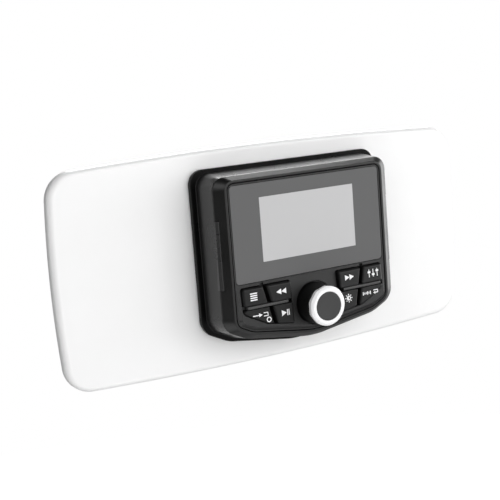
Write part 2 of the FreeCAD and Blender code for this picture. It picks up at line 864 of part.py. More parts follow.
def make_encoder():
    front = knob_recess_floor + knob_recess_wall + part_gap
    bore_end = front + shaft_seat_depth
    body = centred_box(0, knob_z, encoder_width, encoder_width, front, control_board_depth)
    body = body.fuse(rod(0, knob_z, encoder_bush_r, -encoder_bush_depth, front))
    plunger_end = bore_end + plunger_height
    body = body.cut([rod(0, knob_z, shaft_r + shaft_gap, -encoder_bush_depth - over, bore_end),
                     rod(0, knob_z, plunger_r + shaft_gap, bore_end - over,
                         plunger_end + knob_travel + key_rest_gap)])
    keep("encoder_body", body)
    shaft_end = bore_end - knob_travel - key_rest_gap
    keep("encoder_shaft", rod(0, knob_z, shaft_r, -shaft_tip, shaft_end))
    keep("encoder_plunger", rod(0, knob_z, plunger_r, shaft_end + part_gap, plunger_end))
    corner = nut_flats / math.sqrt(3)
    hexagon = [Vector(corner * math.cos(math.radians(60 * i)), deep(knob_recess_floor - nut_thickness),
                      knob_z + corner * math.sin(math.radians(60 * i))) for i in range(7)]
    nut = prism(Part.makePolygon(hexagon), nut_thickness)
    keep("encoder_nut", nut.cut(rod(0, knob_z, encoder_bush_r + encoder_hole_gap, -encoder_bush_depth,
                                    knob_recess_floor + over)))
    seal_r = corner + seal_gap
    keep("knob_seal", ring(0, knob_z, seal_r + seal_width, seal_r, knob_recess_floor - seal_thickness,
                           knob_recess_floor))


def make_knob():
    z = knob_z
    front = knob_ring_depth
    skirt = rod(0, z, knob_front_r, -front, knob_rear, knob_skirt_r)
    room = rod(0, z, knob_front_r - knob_wall, knob_wall - front, knob_rear, knob_skirt_r - knob_wall)
    boss_back = -encoder_bush_depth - knob_travel - key_rest_gap
    boss = rod(0, z, knob_boss_r, knob_wall - front - root, boss_back)
    core = rod(0, z, ring_inner_r - cap_gap, cap_thickness - knob_cap_depth, -front)
    body = join([skirt.cut(room), boss, core]).cut(rod(0, z, shaft_r, -shaft_tip, knob_rear + over))
    keep("knob_skirt", body)
    ring_front = ring_below_cap - knob_cap_depth
    outer = rod(0, z, ring_face_r, ring_front, ring_front + ring_round, ring_r)
    outer = outer.fuse(rod(0, z, ring_r, ring_front + ring_round, -front))
    step = 2 * math.pi / ring_sides
    sides = [Vector(ring_r * math.sin(step * i), deep(ring_front), z + ring_r * math.cos(step * i))
             for i in range(ring_sides + 1)]
    outer = outer.common(prism(Part.makePolygon(sides), far))
    keep("knob_ring", outer.cut(rod(0, z, ring_inner_r, ring_front - over, over - front)))
    keep("knob_cap", rod(0, z, ring_inner_r - cap_gap, -knob_cap_depth, cap_thickness - knob_cap_depth))


def barrel_boss_points():
    angles = [math.radians(a) for a in barrel_boss_angles]
    return [(barrel_boss_circle * math.cos(a), barrel_boss_circle * math.sin(a)) for a in angles]


def socket_places():
    return (("speaker_socket", speaker_socket_at), ("power_socket", power_socket_at),
            ("data_socket", data_socket_at))


def barrel_openings():
    """What is cut from the barrel's back for the heat sink and the sockets."""
    d0, d1 = barrel_floor - over, barrel_back + over
    z = (sink_bottom_z + sink_top_z) / 2
    width = 2 * (sink_half_width - sink_flange + sink_hole_gap)
    height = sink_top_z - sink_bottom_z - 2 * (sink_flange - sink_hole_gap)
    cutters = [centred_box(0, z, width, height, d0, d1)]
    for name, (x, z, width, height) in socket_places():
        cutters.append(centred_box(x, z, width + 2 * socket_gap, height + 2 * socket_gap, d0, d1))
    cutters.append(rod(antenna_at[0], antenna_at[1], antenna_r + socket_gap, d0, d1))
    cutters += [rod(x, line_socket_z, line_root_r + socket_gap, d0, d1) for x in line_socket_xs]
    cutters += [rod(x, z, sink_screw_r + screw_gap, d0, d1) for x, z in sink_screw_points()]
    return cutters


def make_barrel():
    can = rod(0, 0, barrel_r, barrel_front, barrel_back)
    can = can.fuse(rod(0, 0, barrel_collar_r, barrel_front, face_stand_off + board_thickness))
    can = can.cut(rod(0, 0, barrel_r - barrel_wall, barrel_front - over, barrel_floor))
    inside = rod(0, 0, barrel_r - barrel_wall / 2, barrel_front, barrel_back)
    boss_back = barrel_front + barrel_boss_length
    stand_off = barrel_floor - main_board_back
    cutters = barrel_openings()
    for x, z in barrel_boss_points():
        can = can.fuse(rod(x, z, barrel_boss_r, barrel_front, boss_back).common(inside))
        cutters.append(rod(x, z, barrel_screw_r, barrel_front - over, boss_back - barrel_screw_room))
    for x, z in stand_off_points:
        can = can.fuse(rod(x, z, stand_off_r, stand_off, barrel_floor + root))
        cutters.append(rod(x, z, board_screw_r, stand_off - over, stand_off + screw_bite))
    groove_half = seal_ring_width / 2 + seal_groove_gap
    cutters.append(ring(0, 0, seal_circle + groove_half, seal_circle - groove_half,
                        barrel_front - over, barrel_front + seal_ring_depth + seal_groove_gap))
    keep("rear_barrel", can.cut(cutters))
    keep("barrel_seal", ring(0, 0, seal_circle + seal_ring_width / 2, seal_circle - seal_ring_width / 2,
                             barrel_front, barrel_front + seal_ring_depth))
    tip = boss_back - barrel_screw_room - screw_end_gap
    keep("barrel_screws", Part.makeCompound([screw(x, z, barrel_screw_r, flange_depth, tip, barrel_head_r,
                                                   flange_depth - barrel_head_height, flange_depth)
                                             for x, z in barrel_boss_points()]))


def sink_screw_points():
    inset = sink_flange / 2
    return both_sides([(sink_half_width - inset, z) for z in (sink_bottom_z + inset, sink_top_z - inset)])


def make_heat_sink():
    front = barrel_floor - sink_flange_thickness
    half = sink_half_width - sink_flange
    z0, z1 = sink_bottom_z + sink_flange, sink_top_z - sink_flange
    shapes = [box(-sink_half_width, sink_half_width, front, barrel_floor, sink_bottom_z, sink_top_z),
              box(-half, half, barrel_floor, barrel_back - sink_root_below, z0, z1)]
    pitch = (2 * half - fin_thickness) / (fin_count - 1)
    for i in range(fin_count):
        x = -half + pitch * i
        shapes.append(box(x, x + fin_thickness, barrel_floor, barrel_floor + fin_reach, z0, z1))
    tip = front + screw_end_gap
    holes = [rod(x, z, sink_screw_r, front, barrel_back) for x, z in sink_screw_points()]
    keep("heat_sink", join(shapes).cut(holes))
    keep("heat_sink_screws", Part.makeCompound([screw(x, z, sink_screw_r, tip, barrel_back, sink_head_r,
                                                      barrel_back, barrel_back + sink_head_height)
                                                for x, z in sink_screw_points()]))


def make_main_board():
    front = main_board_front
    back = front + main_board_thickness
    tip = back + screw_bite - screw_end_gap
    board = rod(0, 0, main_board_r, front, back)
    board = board.cut([rod(x, z, board_screw_r + screw_gap, front - over, back + over)
                       for x, z in stand_off_points])
    keep("main_board", board)
    keep("main_board_screws", Part.makeCompound([screw(x, z, board_screw_r, front, tip, board_head_r,
                                                       front - board_head_height, front)
                                                 for x, z in stand_off_points]))
    keep("amplifier_chip", centred_box(0, (sink_bottom_z + sink_top_z) / 2, chip_width, chip_height, back,
                                       barrel_floor - sink_flange_thickness))
    for name, (x, z, width, height, depth) in (("tuner_module", tuner_at), ("radio_module", radio_at)):
        keep(name, centred_box(x, z, width, height, front - depth, front))
    keep("capacitors", Part.makeCompound([rod(x, capacitor_z, capacitor_r, front - capacitor_length, front)
                                          for x in capacitor_xs]))
    width = ribbon_width + 2 * link_wall
    ribbon_front = control_board_back + link_depth
    ribbon_back = front - link_depth
    keep("link_sockets", Part.makeCompound([
        centred_box(0, 0, width, link_height, control_board_back, ribbon_front),
        centred_box(0, 0, width, link_height, ribbon_back, front)]))
    keep("link_ribbon", centred_box(0, 0, ribbon_width, ribbon_thickness, ribbon_front, ribbon_back))


def socket_contacts(x, z, width, height, floor):
    """Two rows of blades on the floor of a socket."""
    count = int((width - pin_size) / pin_pitch) + 1
    start = x - (count - 1) * pin_pitch / 2
    return [centred_box(start + i * pin_pitch, z + row * height / 4, pin_size, pin_size,
                        floor, floor + pin_length) for i in range(count) for row in (-1, 1)]


def make_sockets():
    front = main_board_front + main_board_thickness
    back = barrel_back + socket_proud
    floor = back - socket_cavity
    contacts = []
    for name, (x, z, width, height) in socket_places():
        inner_width, inner_height = width - 2 * socket_wall, height - 2 * socket_wall
        cavity = centred_box(x, z, inner_width, inner_height, floor, back + over)
        keep(name, centred_box(x, z, width, height, front, back).cut(cavity))
        if name == "data_socket":
            contacts.append(centred_box(x, z, inner_width - 2 * tongue_margin, tongue_height,
                                        floor, floor + pin_length))
        else:
            contacts += socket_contacts(x, z, inner_width, inner_height, floor)
    keep("socket_pins", Part.makeCompound(contacts))
    x, z = antenna_at
    bore = rod(x, z, antenna_bore_r, back - antenna_bore_depth, back + over)
    keep("antenna_socket", rod(x, z, antenna_r, front, back).cut(bore))
    tip = barrel_back + line_socket_proud
    jacks = []
    for x in line_socket_xs:
        jack = rod(x, line_socket_z, line_root_r, front, barrel_back)
        jack = jack.fuse(rod(x, line_socket_z, line_socket_r, barrel_back, tip))
        jacks.append(jack.cut(rod(x, line_socket_z, line_bore_r, tip - line_bore_depth, tip + over)))
    keep("line_sockets", Part.makeCompound(jacks))


def make_mounting_screws():
    screws = []
    tip = face_stand_off + board_thickness - mount_screw_tip
    seat = mount_head_depth + mount_head_height
    slot_end = mount_head_depth + cross_depth
    for x, z in mount_points():
        body = screw(x, z, mount_screw_r, seat, tip, mount_head_r, mount_head_depth, seat)
        screws.append(body.cut([
            centred_box(x, z, cross_length, cross_width, mount_head_depth - over, slot_end),
            centred_box(x, z, cross_width, cross_length, mount_head_depth - over, slot_end)]))
    keep("mounting_screws", Part.makeCompound(screws))


def main():
    for make in (make_board, make_gasket, make_housing, make_trim, make_keys, make_fascia, make_lens,
                 make_display, make_keypads, make_switches, make_control_board, make_encoder, make_knob,
                 make_barrel, make_heat_sink, make_main_board, make_sockets, make_mounting_screws):
        make()
    os.makedirs("parts", exist_ok=True)
    for name, shape in nodes.items():
        if not shape.isValid():
            print("not valid:", name)
        shape.exportStep("parts/" + name + ".step")
        b = shape.BoundBox
        print("%-18s solids %2d  volume %9.1f  x %7.2f %7.2f  y %7.2f %7.2f  z %7.2f %7.2f" % (
            name, len(shape.Solids), shape.Volume, b.XMin, b.XMax, b.YMin, b.YMax, b.ZMin, b.ZMax))
    print(len(nodes), "nodes")


main()
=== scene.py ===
import json
import math

import bmesh
import bpy
from mathutils import Matrix, Vector


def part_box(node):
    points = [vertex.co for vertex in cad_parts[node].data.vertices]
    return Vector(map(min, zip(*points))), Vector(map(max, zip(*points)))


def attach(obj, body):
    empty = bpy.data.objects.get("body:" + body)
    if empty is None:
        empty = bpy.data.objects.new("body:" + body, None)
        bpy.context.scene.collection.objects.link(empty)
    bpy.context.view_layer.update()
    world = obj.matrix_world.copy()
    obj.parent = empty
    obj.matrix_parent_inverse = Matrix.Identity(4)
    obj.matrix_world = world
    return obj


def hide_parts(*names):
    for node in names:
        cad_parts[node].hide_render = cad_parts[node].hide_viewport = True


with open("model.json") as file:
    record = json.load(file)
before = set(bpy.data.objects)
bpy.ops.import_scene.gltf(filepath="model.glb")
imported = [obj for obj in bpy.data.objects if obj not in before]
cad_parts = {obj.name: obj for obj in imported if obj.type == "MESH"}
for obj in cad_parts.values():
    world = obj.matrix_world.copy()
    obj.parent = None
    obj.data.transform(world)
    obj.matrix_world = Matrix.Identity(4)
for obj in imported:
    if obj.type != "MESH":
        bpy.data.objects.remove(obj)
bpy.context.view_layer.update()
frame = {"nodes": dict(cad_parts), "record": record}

record = frame["record"]
bodyOf = {node: body for body, nodes in record["behaviour"]["bodies"].items() for node in nodes}
slotOf = {row["node"]: row["material_slot"] for row in record["subparts"]}
mm = 0.001

# Everything is drawn in millimetres. Depths run backwards from the face, as on a drawing.
lensDrop = 0.1  # how far the lens lies below the face
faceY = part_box("display_lens")[0].y / mm - lensDrop
sharpAngle = math.radians(32)
mergeDistance = 0.0005
hair = 0.01  # a difference in depth or place that counts as none

# Outline of the opening between trim and fascia. Every other outline lies a little outside or inside
# it, by four amounts: side, top, shoulder (the short slant below the side) and chin.
front = {
    "halfWidth": 54.2, "top": 48.1, "shoulderZ": -36.3, "chinX": 43.7, "chinZ": -41.5, "apexZ": -48.1,
    "radii": (4.5, 6.0, 15.0, 48.0), "radiusGrowth": 4.2, "leastRadius": 0.4, "arcSteps": 10,
    "lip": (1.5, 1.3, 1.4, 1.4), "bevel": (7.2, 3.8, 4.9, 4.5), "draft": (1.3, 1.55, 2.2, 2.8),
    "flange": (3.2, 2.2, 3.0, 2.1), "trimFace": -0.25, "slopeEnd": 4.0}


def grown(grow, extra):
    extra = (extra,) * 4 if isinstance(extra, (int, float)) else extra
    return tuple(a + b for a, b in zip(grow, extra))


def between(a, b, share):
    return tuple(x + (y - x) * share for x, y in zip(a, b))


def crossing(p, u, q, v):
    det = u[0] * v[1] - u[1] * v[0]
    s = ((q[0] - p[0]) * v[1] - (q[1] - p[1]) * v[0]) / det
    return p[0] + s * u[0], p[1] + s * u[1]


def movedLine(start, end, out):
    dx, dz = end[0] - start[0], end[1] - start[1]
    length = math.hypot(dx, dz)
    return (start[0] - dz * out / length, start[1] + dx * out / length), (dx, dz)


# The shoulder's and the chin's line on the right, moved out
def slantedLines(shoulder, chin):
    turn = (front["chinX"], front["chinZ"])
    return (movedLine((front["halfWidth"], front["shoulderZ"]), turn, shoulder),
            movedLine(turn, (0.0, front["apexZ"]), chin))


# Corners (x, z, radius) of the front outline, moved out
def frontOutline(grow):
    side, top, shoulder, chin = grow
    xSide, zTop = front["halfWidth"] + side, front["top"] + top
    shoulderLine, chinLine = slantedLines(shoulder, chin)
    points = [(xSide, zTop), crossing((xSide, 0.0), (0.0, 1.0), *shoulderLine),
              crossing(*shoulderLine, *chinLine)]
    growth = (min(side, top), min(side, shoulder), shoulder, chin)
    radii = [max(front["leastRadius"], r + min(g, front["radiusGrowth"]))
             for r, g in zip(front["radii"], growth)]
    right = [(x, z, r) for (x, z), r in zip(points, radii)]
    apex = crossing((0.0, 0.0), (0.0, 1.0), *chinLine)
    return right + [(*apex, radii[3])] + [(-x, z, r) for x, z, r in reversed(right)]


def bevelParts(bm, parts, offset, segments, kind='VERTICES', clamp=False):
    bmesh.ops.bevel(bm, geom=parts, offset=offset, segments=segments, profile=0.5, affect=kind,
                    material=-1, clamp_overlap=clamp)


# One flat face with an arc at each corner
def outlineFace(bm, corners, depth, steps=front["arcSteps"]):
    before = set(bm.faces)
    face = bm.faces.new([bm.verts.new((x, faceY + depth, z)) for x, z, r in corners])
    for v, (x, z, r) in list(zip(face.verts, corners)):
        a, b = [e.other_vert(v).co - v.co for e in v.link_edges]
        bevelParts(bm, [v], r / math.tan(a.angle(b) / 2), steps)
    return [f for f in bm.faces if f not in before][0]


def outlineLoop(bm, corners, depth, steps=front["arcSteps"]):
    face = outlineFace(bm, corners, depth, steps)
    edges = list(face.edges)
    bmesh.ops.delete(bm, geom=[face], context='FACES_ONLY')
    return edges


def linkedEdges(verts):
    return list(dict.fromkeys(e for v in verts for e in v.link_edges))


def circleLoop(bm, x, z, r, depth, steps=96):
    turned = Matrix.Translation((x, faceY + depth, z)) @ Matrix.Rotation(math.pi / 2, 4, 'X')
    made = bmesh.ops.create_circle(bm, cap_ends=False, radius=r, segments=steps, matrix=turned)
    return linkedEdges(made["verts"])


# Skins neighbouring loops together. They are drawn apart first, because loops in one plane bridge
# crossed.
def stackLoops(bm, loops, closed=False):
    apart = 40.0
    rings = [{v for e in loop for v in e.verts} for loop in loops]
    depths = [next(iter(ring)).co.y for ring in rings]
    for i, ring in enumerate(rings):
        for v in ring:
            v.co.y = apart * i
    for a, b in zip(loops, loops[1:] + (loops[:1] if closed else [])):
        bmesh.ops.bridge_loops(bm, edges=a + b)
    for ring, y in zip(rings, depths):
        for v in ring:
            v.co.y = y


# A mesh whose edges carry a bevel weight; the layer has to exist before any edge does
def weightedMesh():
    bm = bmesh.new()
    bm.edges.layers.float.new("bevel_weight_edge")
    return bm


# Marks loops for the bevel modifier; an amount of 1 is its full width
def roundLoops(bm, loops, amounts):
    weights = bm.edges.layers.float["bevel_weight_edge"]
    for edges, amount in zip(loops, amounts):
        for e in edges:
            e[weights] = amount


def boxMesh(bm, x0, x1, d0, d1, z0, z1):
    size = Matrix.Diagonal((x1 - x0, d1 - d0, z1 - z0, 1.0))
    middle = Matrix.Translation(((x0 + x1) / 2, faceY + (d0 + d1) / 2, (z0 + z1) / 2))
    return bmesh.ops.create_cube(bm, size=1.0, matrix=middle @ size)["verts"]


# A round bar along the depth
def rodMesh(bm, x, z, r, d0, d1, steps):
    turned = Matrix.Translation((x, faceY + (d0 + d1) / 2, z)) @ Matrix.Rotation(-math.pi / 2, 4, 'X')
    return bmesh.ops.create_cone(bm, cap_ends=True, radius1=r, radius2=r, depth=d1 - d0, segments=steps,
                                 matrix=turned)["verts"]


# Pulls faces out and gives the new vertices, or the new faces
def extruded(bm, faces, kind=bmesh.types.BMVert):
    made = bmesh.ops.extrude_face_region(bm, geom=faces)["geom"]
    return [g for g in made if isinstance(g, kind)]


def bevelAll(bm, verts, offset):
    edges = [e for e in linkedEdges(verts) if e.calc_face_angle(0) > sharpAngle]
    bevelParts(bm, edges, offset, 2, 'EDGES', True)


# Turns a profile of (radius, depth) points about an axis along the depth
def spunMesh(bm, x, z, profile, steps):
    verts = [bm.verts.new((x + r, faceY + d, z)) for r, d in profile]
    edges = [bm.edges.new(pair) for pair in zip(verts, verts[1:])]
    bmesh.ops.spin(bm, geom=verts + edges, cent=(x, 0, z), axis=(0, 1, 0), angle=2 * math.pi, steps=steps,
                   use_merge=True)
    bmesh.ops.remove_doubles(bm, verts=bm.verts, dist=mergeDistance)


def newObject(name, data):
    made = bpy.data.objects.new(name, data)
    bpy.context.scene.collection.objects.link(made)
    return made


def meshObject(name, bm):
    mesh = bpy.data.meshes.new(name)
    bm.to_mesh(mesh)
    bm.free()
    return newObject(name, mesh)


def evenShading(piece):
    shade = piece.modifiers.new("shading", 'WEIGHTED_NORMAL')
    shade.keep_sharp = True


# Turns millimetres into metres, rounds the edges and hangs the piece on its body. Its looks are one
# finish or a list. The edges to round are those past the sharp angle, or those that carry a weight.
def addPiece(name, bm, looks, body, nodes=(), rounding=0.0, segments=3, bySharpness=False, outward=True):
    bmesh.ops.scale(bm, vec=(mm, mm, mm), verts=bm.verts)
    if outward:
        bmesh.ops.recalc_face_normals(bm, faces=bm.faces)
    weights = bm.edges.layers.float.get("bevel_weight_edge")
    for f in bm.faces:
        f.smooth = True
    for e in bm.edges:
        kept = bySharpness or (weights is not None and e[weights] > 0)
        e.smooth = kept or e.calc_face_angle(0) < sharpAngle
    piece = meshObject(name, bm)
    for look in looks if isinstance(looks, list) else [looks]:
        piece.data.materials.append(finishes[look])
    if rounding:
        edges = piece.modifiers.new("edges", 'BEVEL')
        edges.width = rounding * mm
        edges.segments = segments
        edges.limit_method = 'ANGLE' if bySharpness else 'WEIGHT'
        edges.angle_limit = sharpAngle
        edges.loop_slide = False  # the flat fills have edges that it would slide along
        edges.use_clamp_overlap = bySharpness
    evenShading(piece)
    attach(piece, body)
    if nodes:
        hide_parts(*nodes)
    return piece


# Cuts plain solids out of a finished piece and keeps the result as its mesh
def cutFrom(piece, cutters):
    for cutter in cutters:
        hole = piece.modifiers.new("cut", 'BOOLEAN')
        hole.operation = 'DIFFERENCE'
        hole.solver = 'EXACT'
        hole.object = cutter
        piece.modifiers.move(len(piece.modifiers) - 1, len(piece.modifiers) - 2)
    graph = bpy.context.evaluated_depsgraph_get()
    mesh = bpy.data.meshes.new_from_object(piece.evaluated_get(graph))
    piece.modifiers.clear()
    piece.data = mesh
    for cutter in cutters:
        bpy.data.objects.remove(cutter)
    evenShading(piece)


def cutterBox(*corners):
    bm = bmesh.new()
    boxMesh(bm, *corners)
    bmesh.ops.scale(bm, vec=(mm, mm, mm), verts=bm.verts)
    return meshObject("cutter", bm)


# Shared surface effects, each a node group that puts out masks or values

def newGroup(name, inputs, *outputs):
    group = bpy.data.node_groups.new(name, 'ShaderNodeTree')
    for label, value in inputs.items():
        kind = 'NodeSocketVector' if isinstance(value, tuple) else 'NodeSocketFloat'
        socket = group.interface.new_socket(name=label, in_out='INPUT', socket_type=kind)
        socket.default_value = value
    for label in outputs:
        group.interface.new_socket(name=label, in_out='OUTPUT', socket_type='NodeSocketFloat')
    return group, group.nodes.new('NodeGroupInput'), group.nodes.new('NodeGroupOutput')


def place(tree, kind, at, values=None, **settings):
    node = tree.nodes.new(kind)
    node.location = at
    for key, value in settings.items():
        setattr(node, key, value)
    for label, value in (values or {}).items():
        node.inputs[label].default_value = value
    return node


# Turns a feature's size into a texture's scale
def reciprocal(tree, source, at):
    node = place(tree, 'ShaderNodeMath', at, {0: 1.0}, operation='DIVIDE')
    tree.links.new(source, node.inputs[1])
    return node.outputs[0]


# Spark-eroded mould texture: a fine grain and a broad, faint mottle
def makeMouldGrain():
    group, into, out = newGroup("mouldGrain", {"Grain Size": 0.0003, "Mottle Size": 0.02},
                                "Grain", "Mottle")
    coords = place(group, 'ShaderNodeTexCoord', (-700, 0))
    fine = place(group, 'ShaderNodeTexNoise', (-300, 100), {"Detail": 2.0, "Roughness": 0.55})
    broad = place(group, 'ShaderNodeTexNoise', (-300, -150), {"Detail": 3.0})
    link = group.links.new
    for texture, size, label, height in ((fine, "Grain Size", "Grain", 250),
                                         (broad, "Mottle Size", "Mottle", -300)):
        link(coords.outputs["Object"], texture.inputs["Vector"])
        link(reciprocal(group, into.outputs[size], (-500, height)), texture.inputs["Scale"])
        link(texture.outputs["Fac"], out.inputs[label])
    return group


# A broken mask along the edges, where handling polishes and lightens a surface, and where the lighter
# colour is also a painted highlight
def makeEdgeWearAndHighlight():
    group, into, out = newGroup("edgeWearAndHighlight", {"Width": 0.0004, "Breakup Size": 0.003}, "Mask")
    link = group.links.new
    soft = place(group, 'ShaderNodeBevel', (-600, 100), samples=6)
    link(into.outputs["Width"], soft.inputs["Radius"])
    plain = place(group, 'ShaderNodeNewGeometry', (-600, -100))
    same = place(group, 'ShaderNodeVectorMath', (-400, 50), operation='DOT_PRODUCT')
    link(soft.outputs["Normal"], same.inputs[0])
    link(plain.outputs["Normal"], same.inputs[1])
    edge = place(group, 'ShaderNodeMapRange', (-200, 50), {"From Min": 0.995, "From Max": 0.86})
    link(same.outputs["Value"], edge.inputs["Value"])
    coords = place(group, 'ShaderNodeTexCoord', (-600, -300))
    chips = place(group, 'ShaderNodeTexNoise', (-400, -300), {"Detail": 4.0})
    link(coords.outputs["Object"], chips.inputs["Vector"])
    link(reciprocal(group, into.outputs["Breakup Size"], (-600, -500)), chips.inputs["Scale"])
    broken = place(group, 'ShaderNodeMapRange', (-200, -300), {"From Min": 0.3, "From Max": 0.62})
    link(chips.outputs["Fac"], broken.inputs["Value"])
    both = place(group, 'ShaderNodeMath', (0, 0), operation='MULTIPLY')
    link(edge.outputs["Result"], both.inputs[0])
    link(broken.outputs["Result"], both.inputs[1])
    link(both.outputs[0], out.inputs["Mask"])
    return group


# Long fine streaks along X, as brushing or a lathe leaves
def makeBrushing():
    group, into, out = newGroup("brushing", {"Streak Size": 0.0002, "Stretch": (0.03, 1.0, 1.0)},
                                "Streaks")
    link = group.links.new
    coords = place(group, 'ShaderNodeTexCoord', (-700, 0))
    pulled = place(group, 'ShaderNodeMapping', (-500, 0))
    link(coords.outputs["Object"], pulled.inputs["Vector"])
    link(into.outputs["Stretch"], pulled.inputs["Scale"])
    streaks = place(group, 'ShaderNodeTexNoise', (-250, 0), {"Detail": 3.0})
    link(pulled.outputs["Vector"], streaks.inputs["Vector"])
    link(reciprocal(group, into.outputs["Streak Size"], (-450, -250)), streaks.inputs["Scale"])
    link(streaks.outputs["Fac"], out.inputs["Streaks"])
    return group


groups = {"grain": makeMouldGrain(), "wearAndHighlight": makeEdgeWearAndHighlight(), "brushing": makeBrushing()}
print("surface effects:", len(groups))


# A plain number stands for a near neutral grey
def rgba(colour):
    return (*(colour if isinstance(colour, tuple) else (colour, colour, colour * 1.01)), 1.0)


def newMaterial(name, colour, **sockets):
    material = bpy.data.materials.new(name)
    material.use_nodes = True
    shader = material.node_tree.nodes["Principled BSDF"]
    shader.inputs["Base Color"].default_value = rgba(colour)
    for key, value in sockets.items():
        shader.inputs[key.replace("_", " ")].default_value = value
    material.diffuse_color = rgba(colour)
    return material, shader


def addEffect(material, key, at, **values):
    values = {label.replace("_", " "): value for label, value in values.items()}
    return place(material.node_tree, 'ShaderNodeGroup', at, values, node_tree=groups[key])


def mixColours(material, mask, low, high):
    node = place(material.node_tree, 'ShaderNodeMix', (-500, 200), data_type='RGBA')
    colours = [s for s in node.inputs if s.type == 'RGBA']
    colours[0].default_value = rgba(low)
    colours[1].default_value = rgba(high)
    material.node_tree.links.new(mask, node.inputs[0])
    return [s for s in node.outputs if s.type == 'RGBA'][0]


# Spreads a noise's middle range over the values from low to high
def spread(material, source, low, high):
    node = place(material.node_tree, 'ShaderNodeMapRange', (-500, -50),
                 {"From Min": 0.3, "From Max": 0.7, "To Min": low, "To Max": high})
    material.node_tree.links.new(source, node.inputs["Value"])
    return node.outputs["Result"]


# Joins a colour, a roughness and a relief to the shader
def joinShader(material, shader, base, sheen, height, depth):
    link = material.node_tree.links.new
    bump = place(material.node_tree, 'ShaderNodeBump', (-300, -300), {"Strength": 1.0, "Distance": depth})
    link(base, shader.inputs["Base Color"])
    link(sheen, shader.inputs["Roughness"])
    link(height, bump.inputs["Height"])
    link(bump.outputs["Normal"], shader.inputs["Normal"])
    return material


# Sizes of the slow variation in metres, and how far it moves the roughness up and down
variation = {"plastic": 0.018, "plasticSheen": 0.04, "metal": 0.006, "metalGrain": 0.0005,
             "metalSheen": 0.06, "gloss": 0.03}


# Satin moulded plastic or rubber: grain, a faint mottling of the sheen, edges lightened by wear and
# painted highlight
def mouldedPlastic(name, colour, wornAndHighlit, roughness, grain=0.00028, depth=0.000006, **sockets):
    material, shader = newMaterial(name, colour, **sockets)
    texture = addEffect(material, "grain", (-900, -100), Grain_Size=grain,
                        Mottle_Size=variation["plastic"])
    wearAndHighlight = addEffect(material, "wearAndHighlight", (-900, 200))
    # the edges are painted lighter: handling wear and a painted highlight together
    base = mixColours(material, wearAndHighlight.outputs["Mask"], colour, wornAndHighlit)
    change = variation["plasticSheen"]
    sheen = spread(material, texture.outputs["Mottle"], roughness - change, roughness + change)
    return joinShader(material, shader, base, sheen, texture.outputs["Grain"], depth)


# Metal with fine tool marks and a slightly uneven polish
def metalFinish(name, colour, dark, roughness, depth=0.000002, **sockets):
    material, shader = newMaterial(name, colour, **sockets)
    marks = addEffect(material, "brushing", (-900, -100))
    tone = addEffect(material, "grain", (-900, 200), Grain_Size=variation["metalGrain"],
                     Mottle_Size=variation["metal"])
    base = mixColours(material, tone.outputs["Mottle"], dark, colour)
    change = variation["metalSheen"]
    polish = spread(material, marks.outputs["Streaks"], roughness - change, roughness + change)
    return joinShader(material, shader, base, polish, marks.outputs["Streaks"], depth)


# Polished or coated surface, a little wavy, with a faint haze from handling
def glossFinish(name, colour, roughness, waviness=0.00002, waveSize=0.012, unevenness=0.04, **sockets):
    material, shader = newMaterial(name, colour, **sockets)
    texture = addEffect(material, "grain", (-900, 0), Grain_Size=waveSize,
                        Mottle_Size=variation["gloss"])
    haze = spread(material, texture.outputs["Mottle"], roughness, roughness + unevenness)
    light = tuple(min(1.0, c * (1 + unevenness)) for c in rgba(colour)[:3])
    base = mixColours(material, texture.outputs["Mottle"], colour, light)
    return joinShader(material, shader, base, haze, texture.outputs["Grain"], waviness)


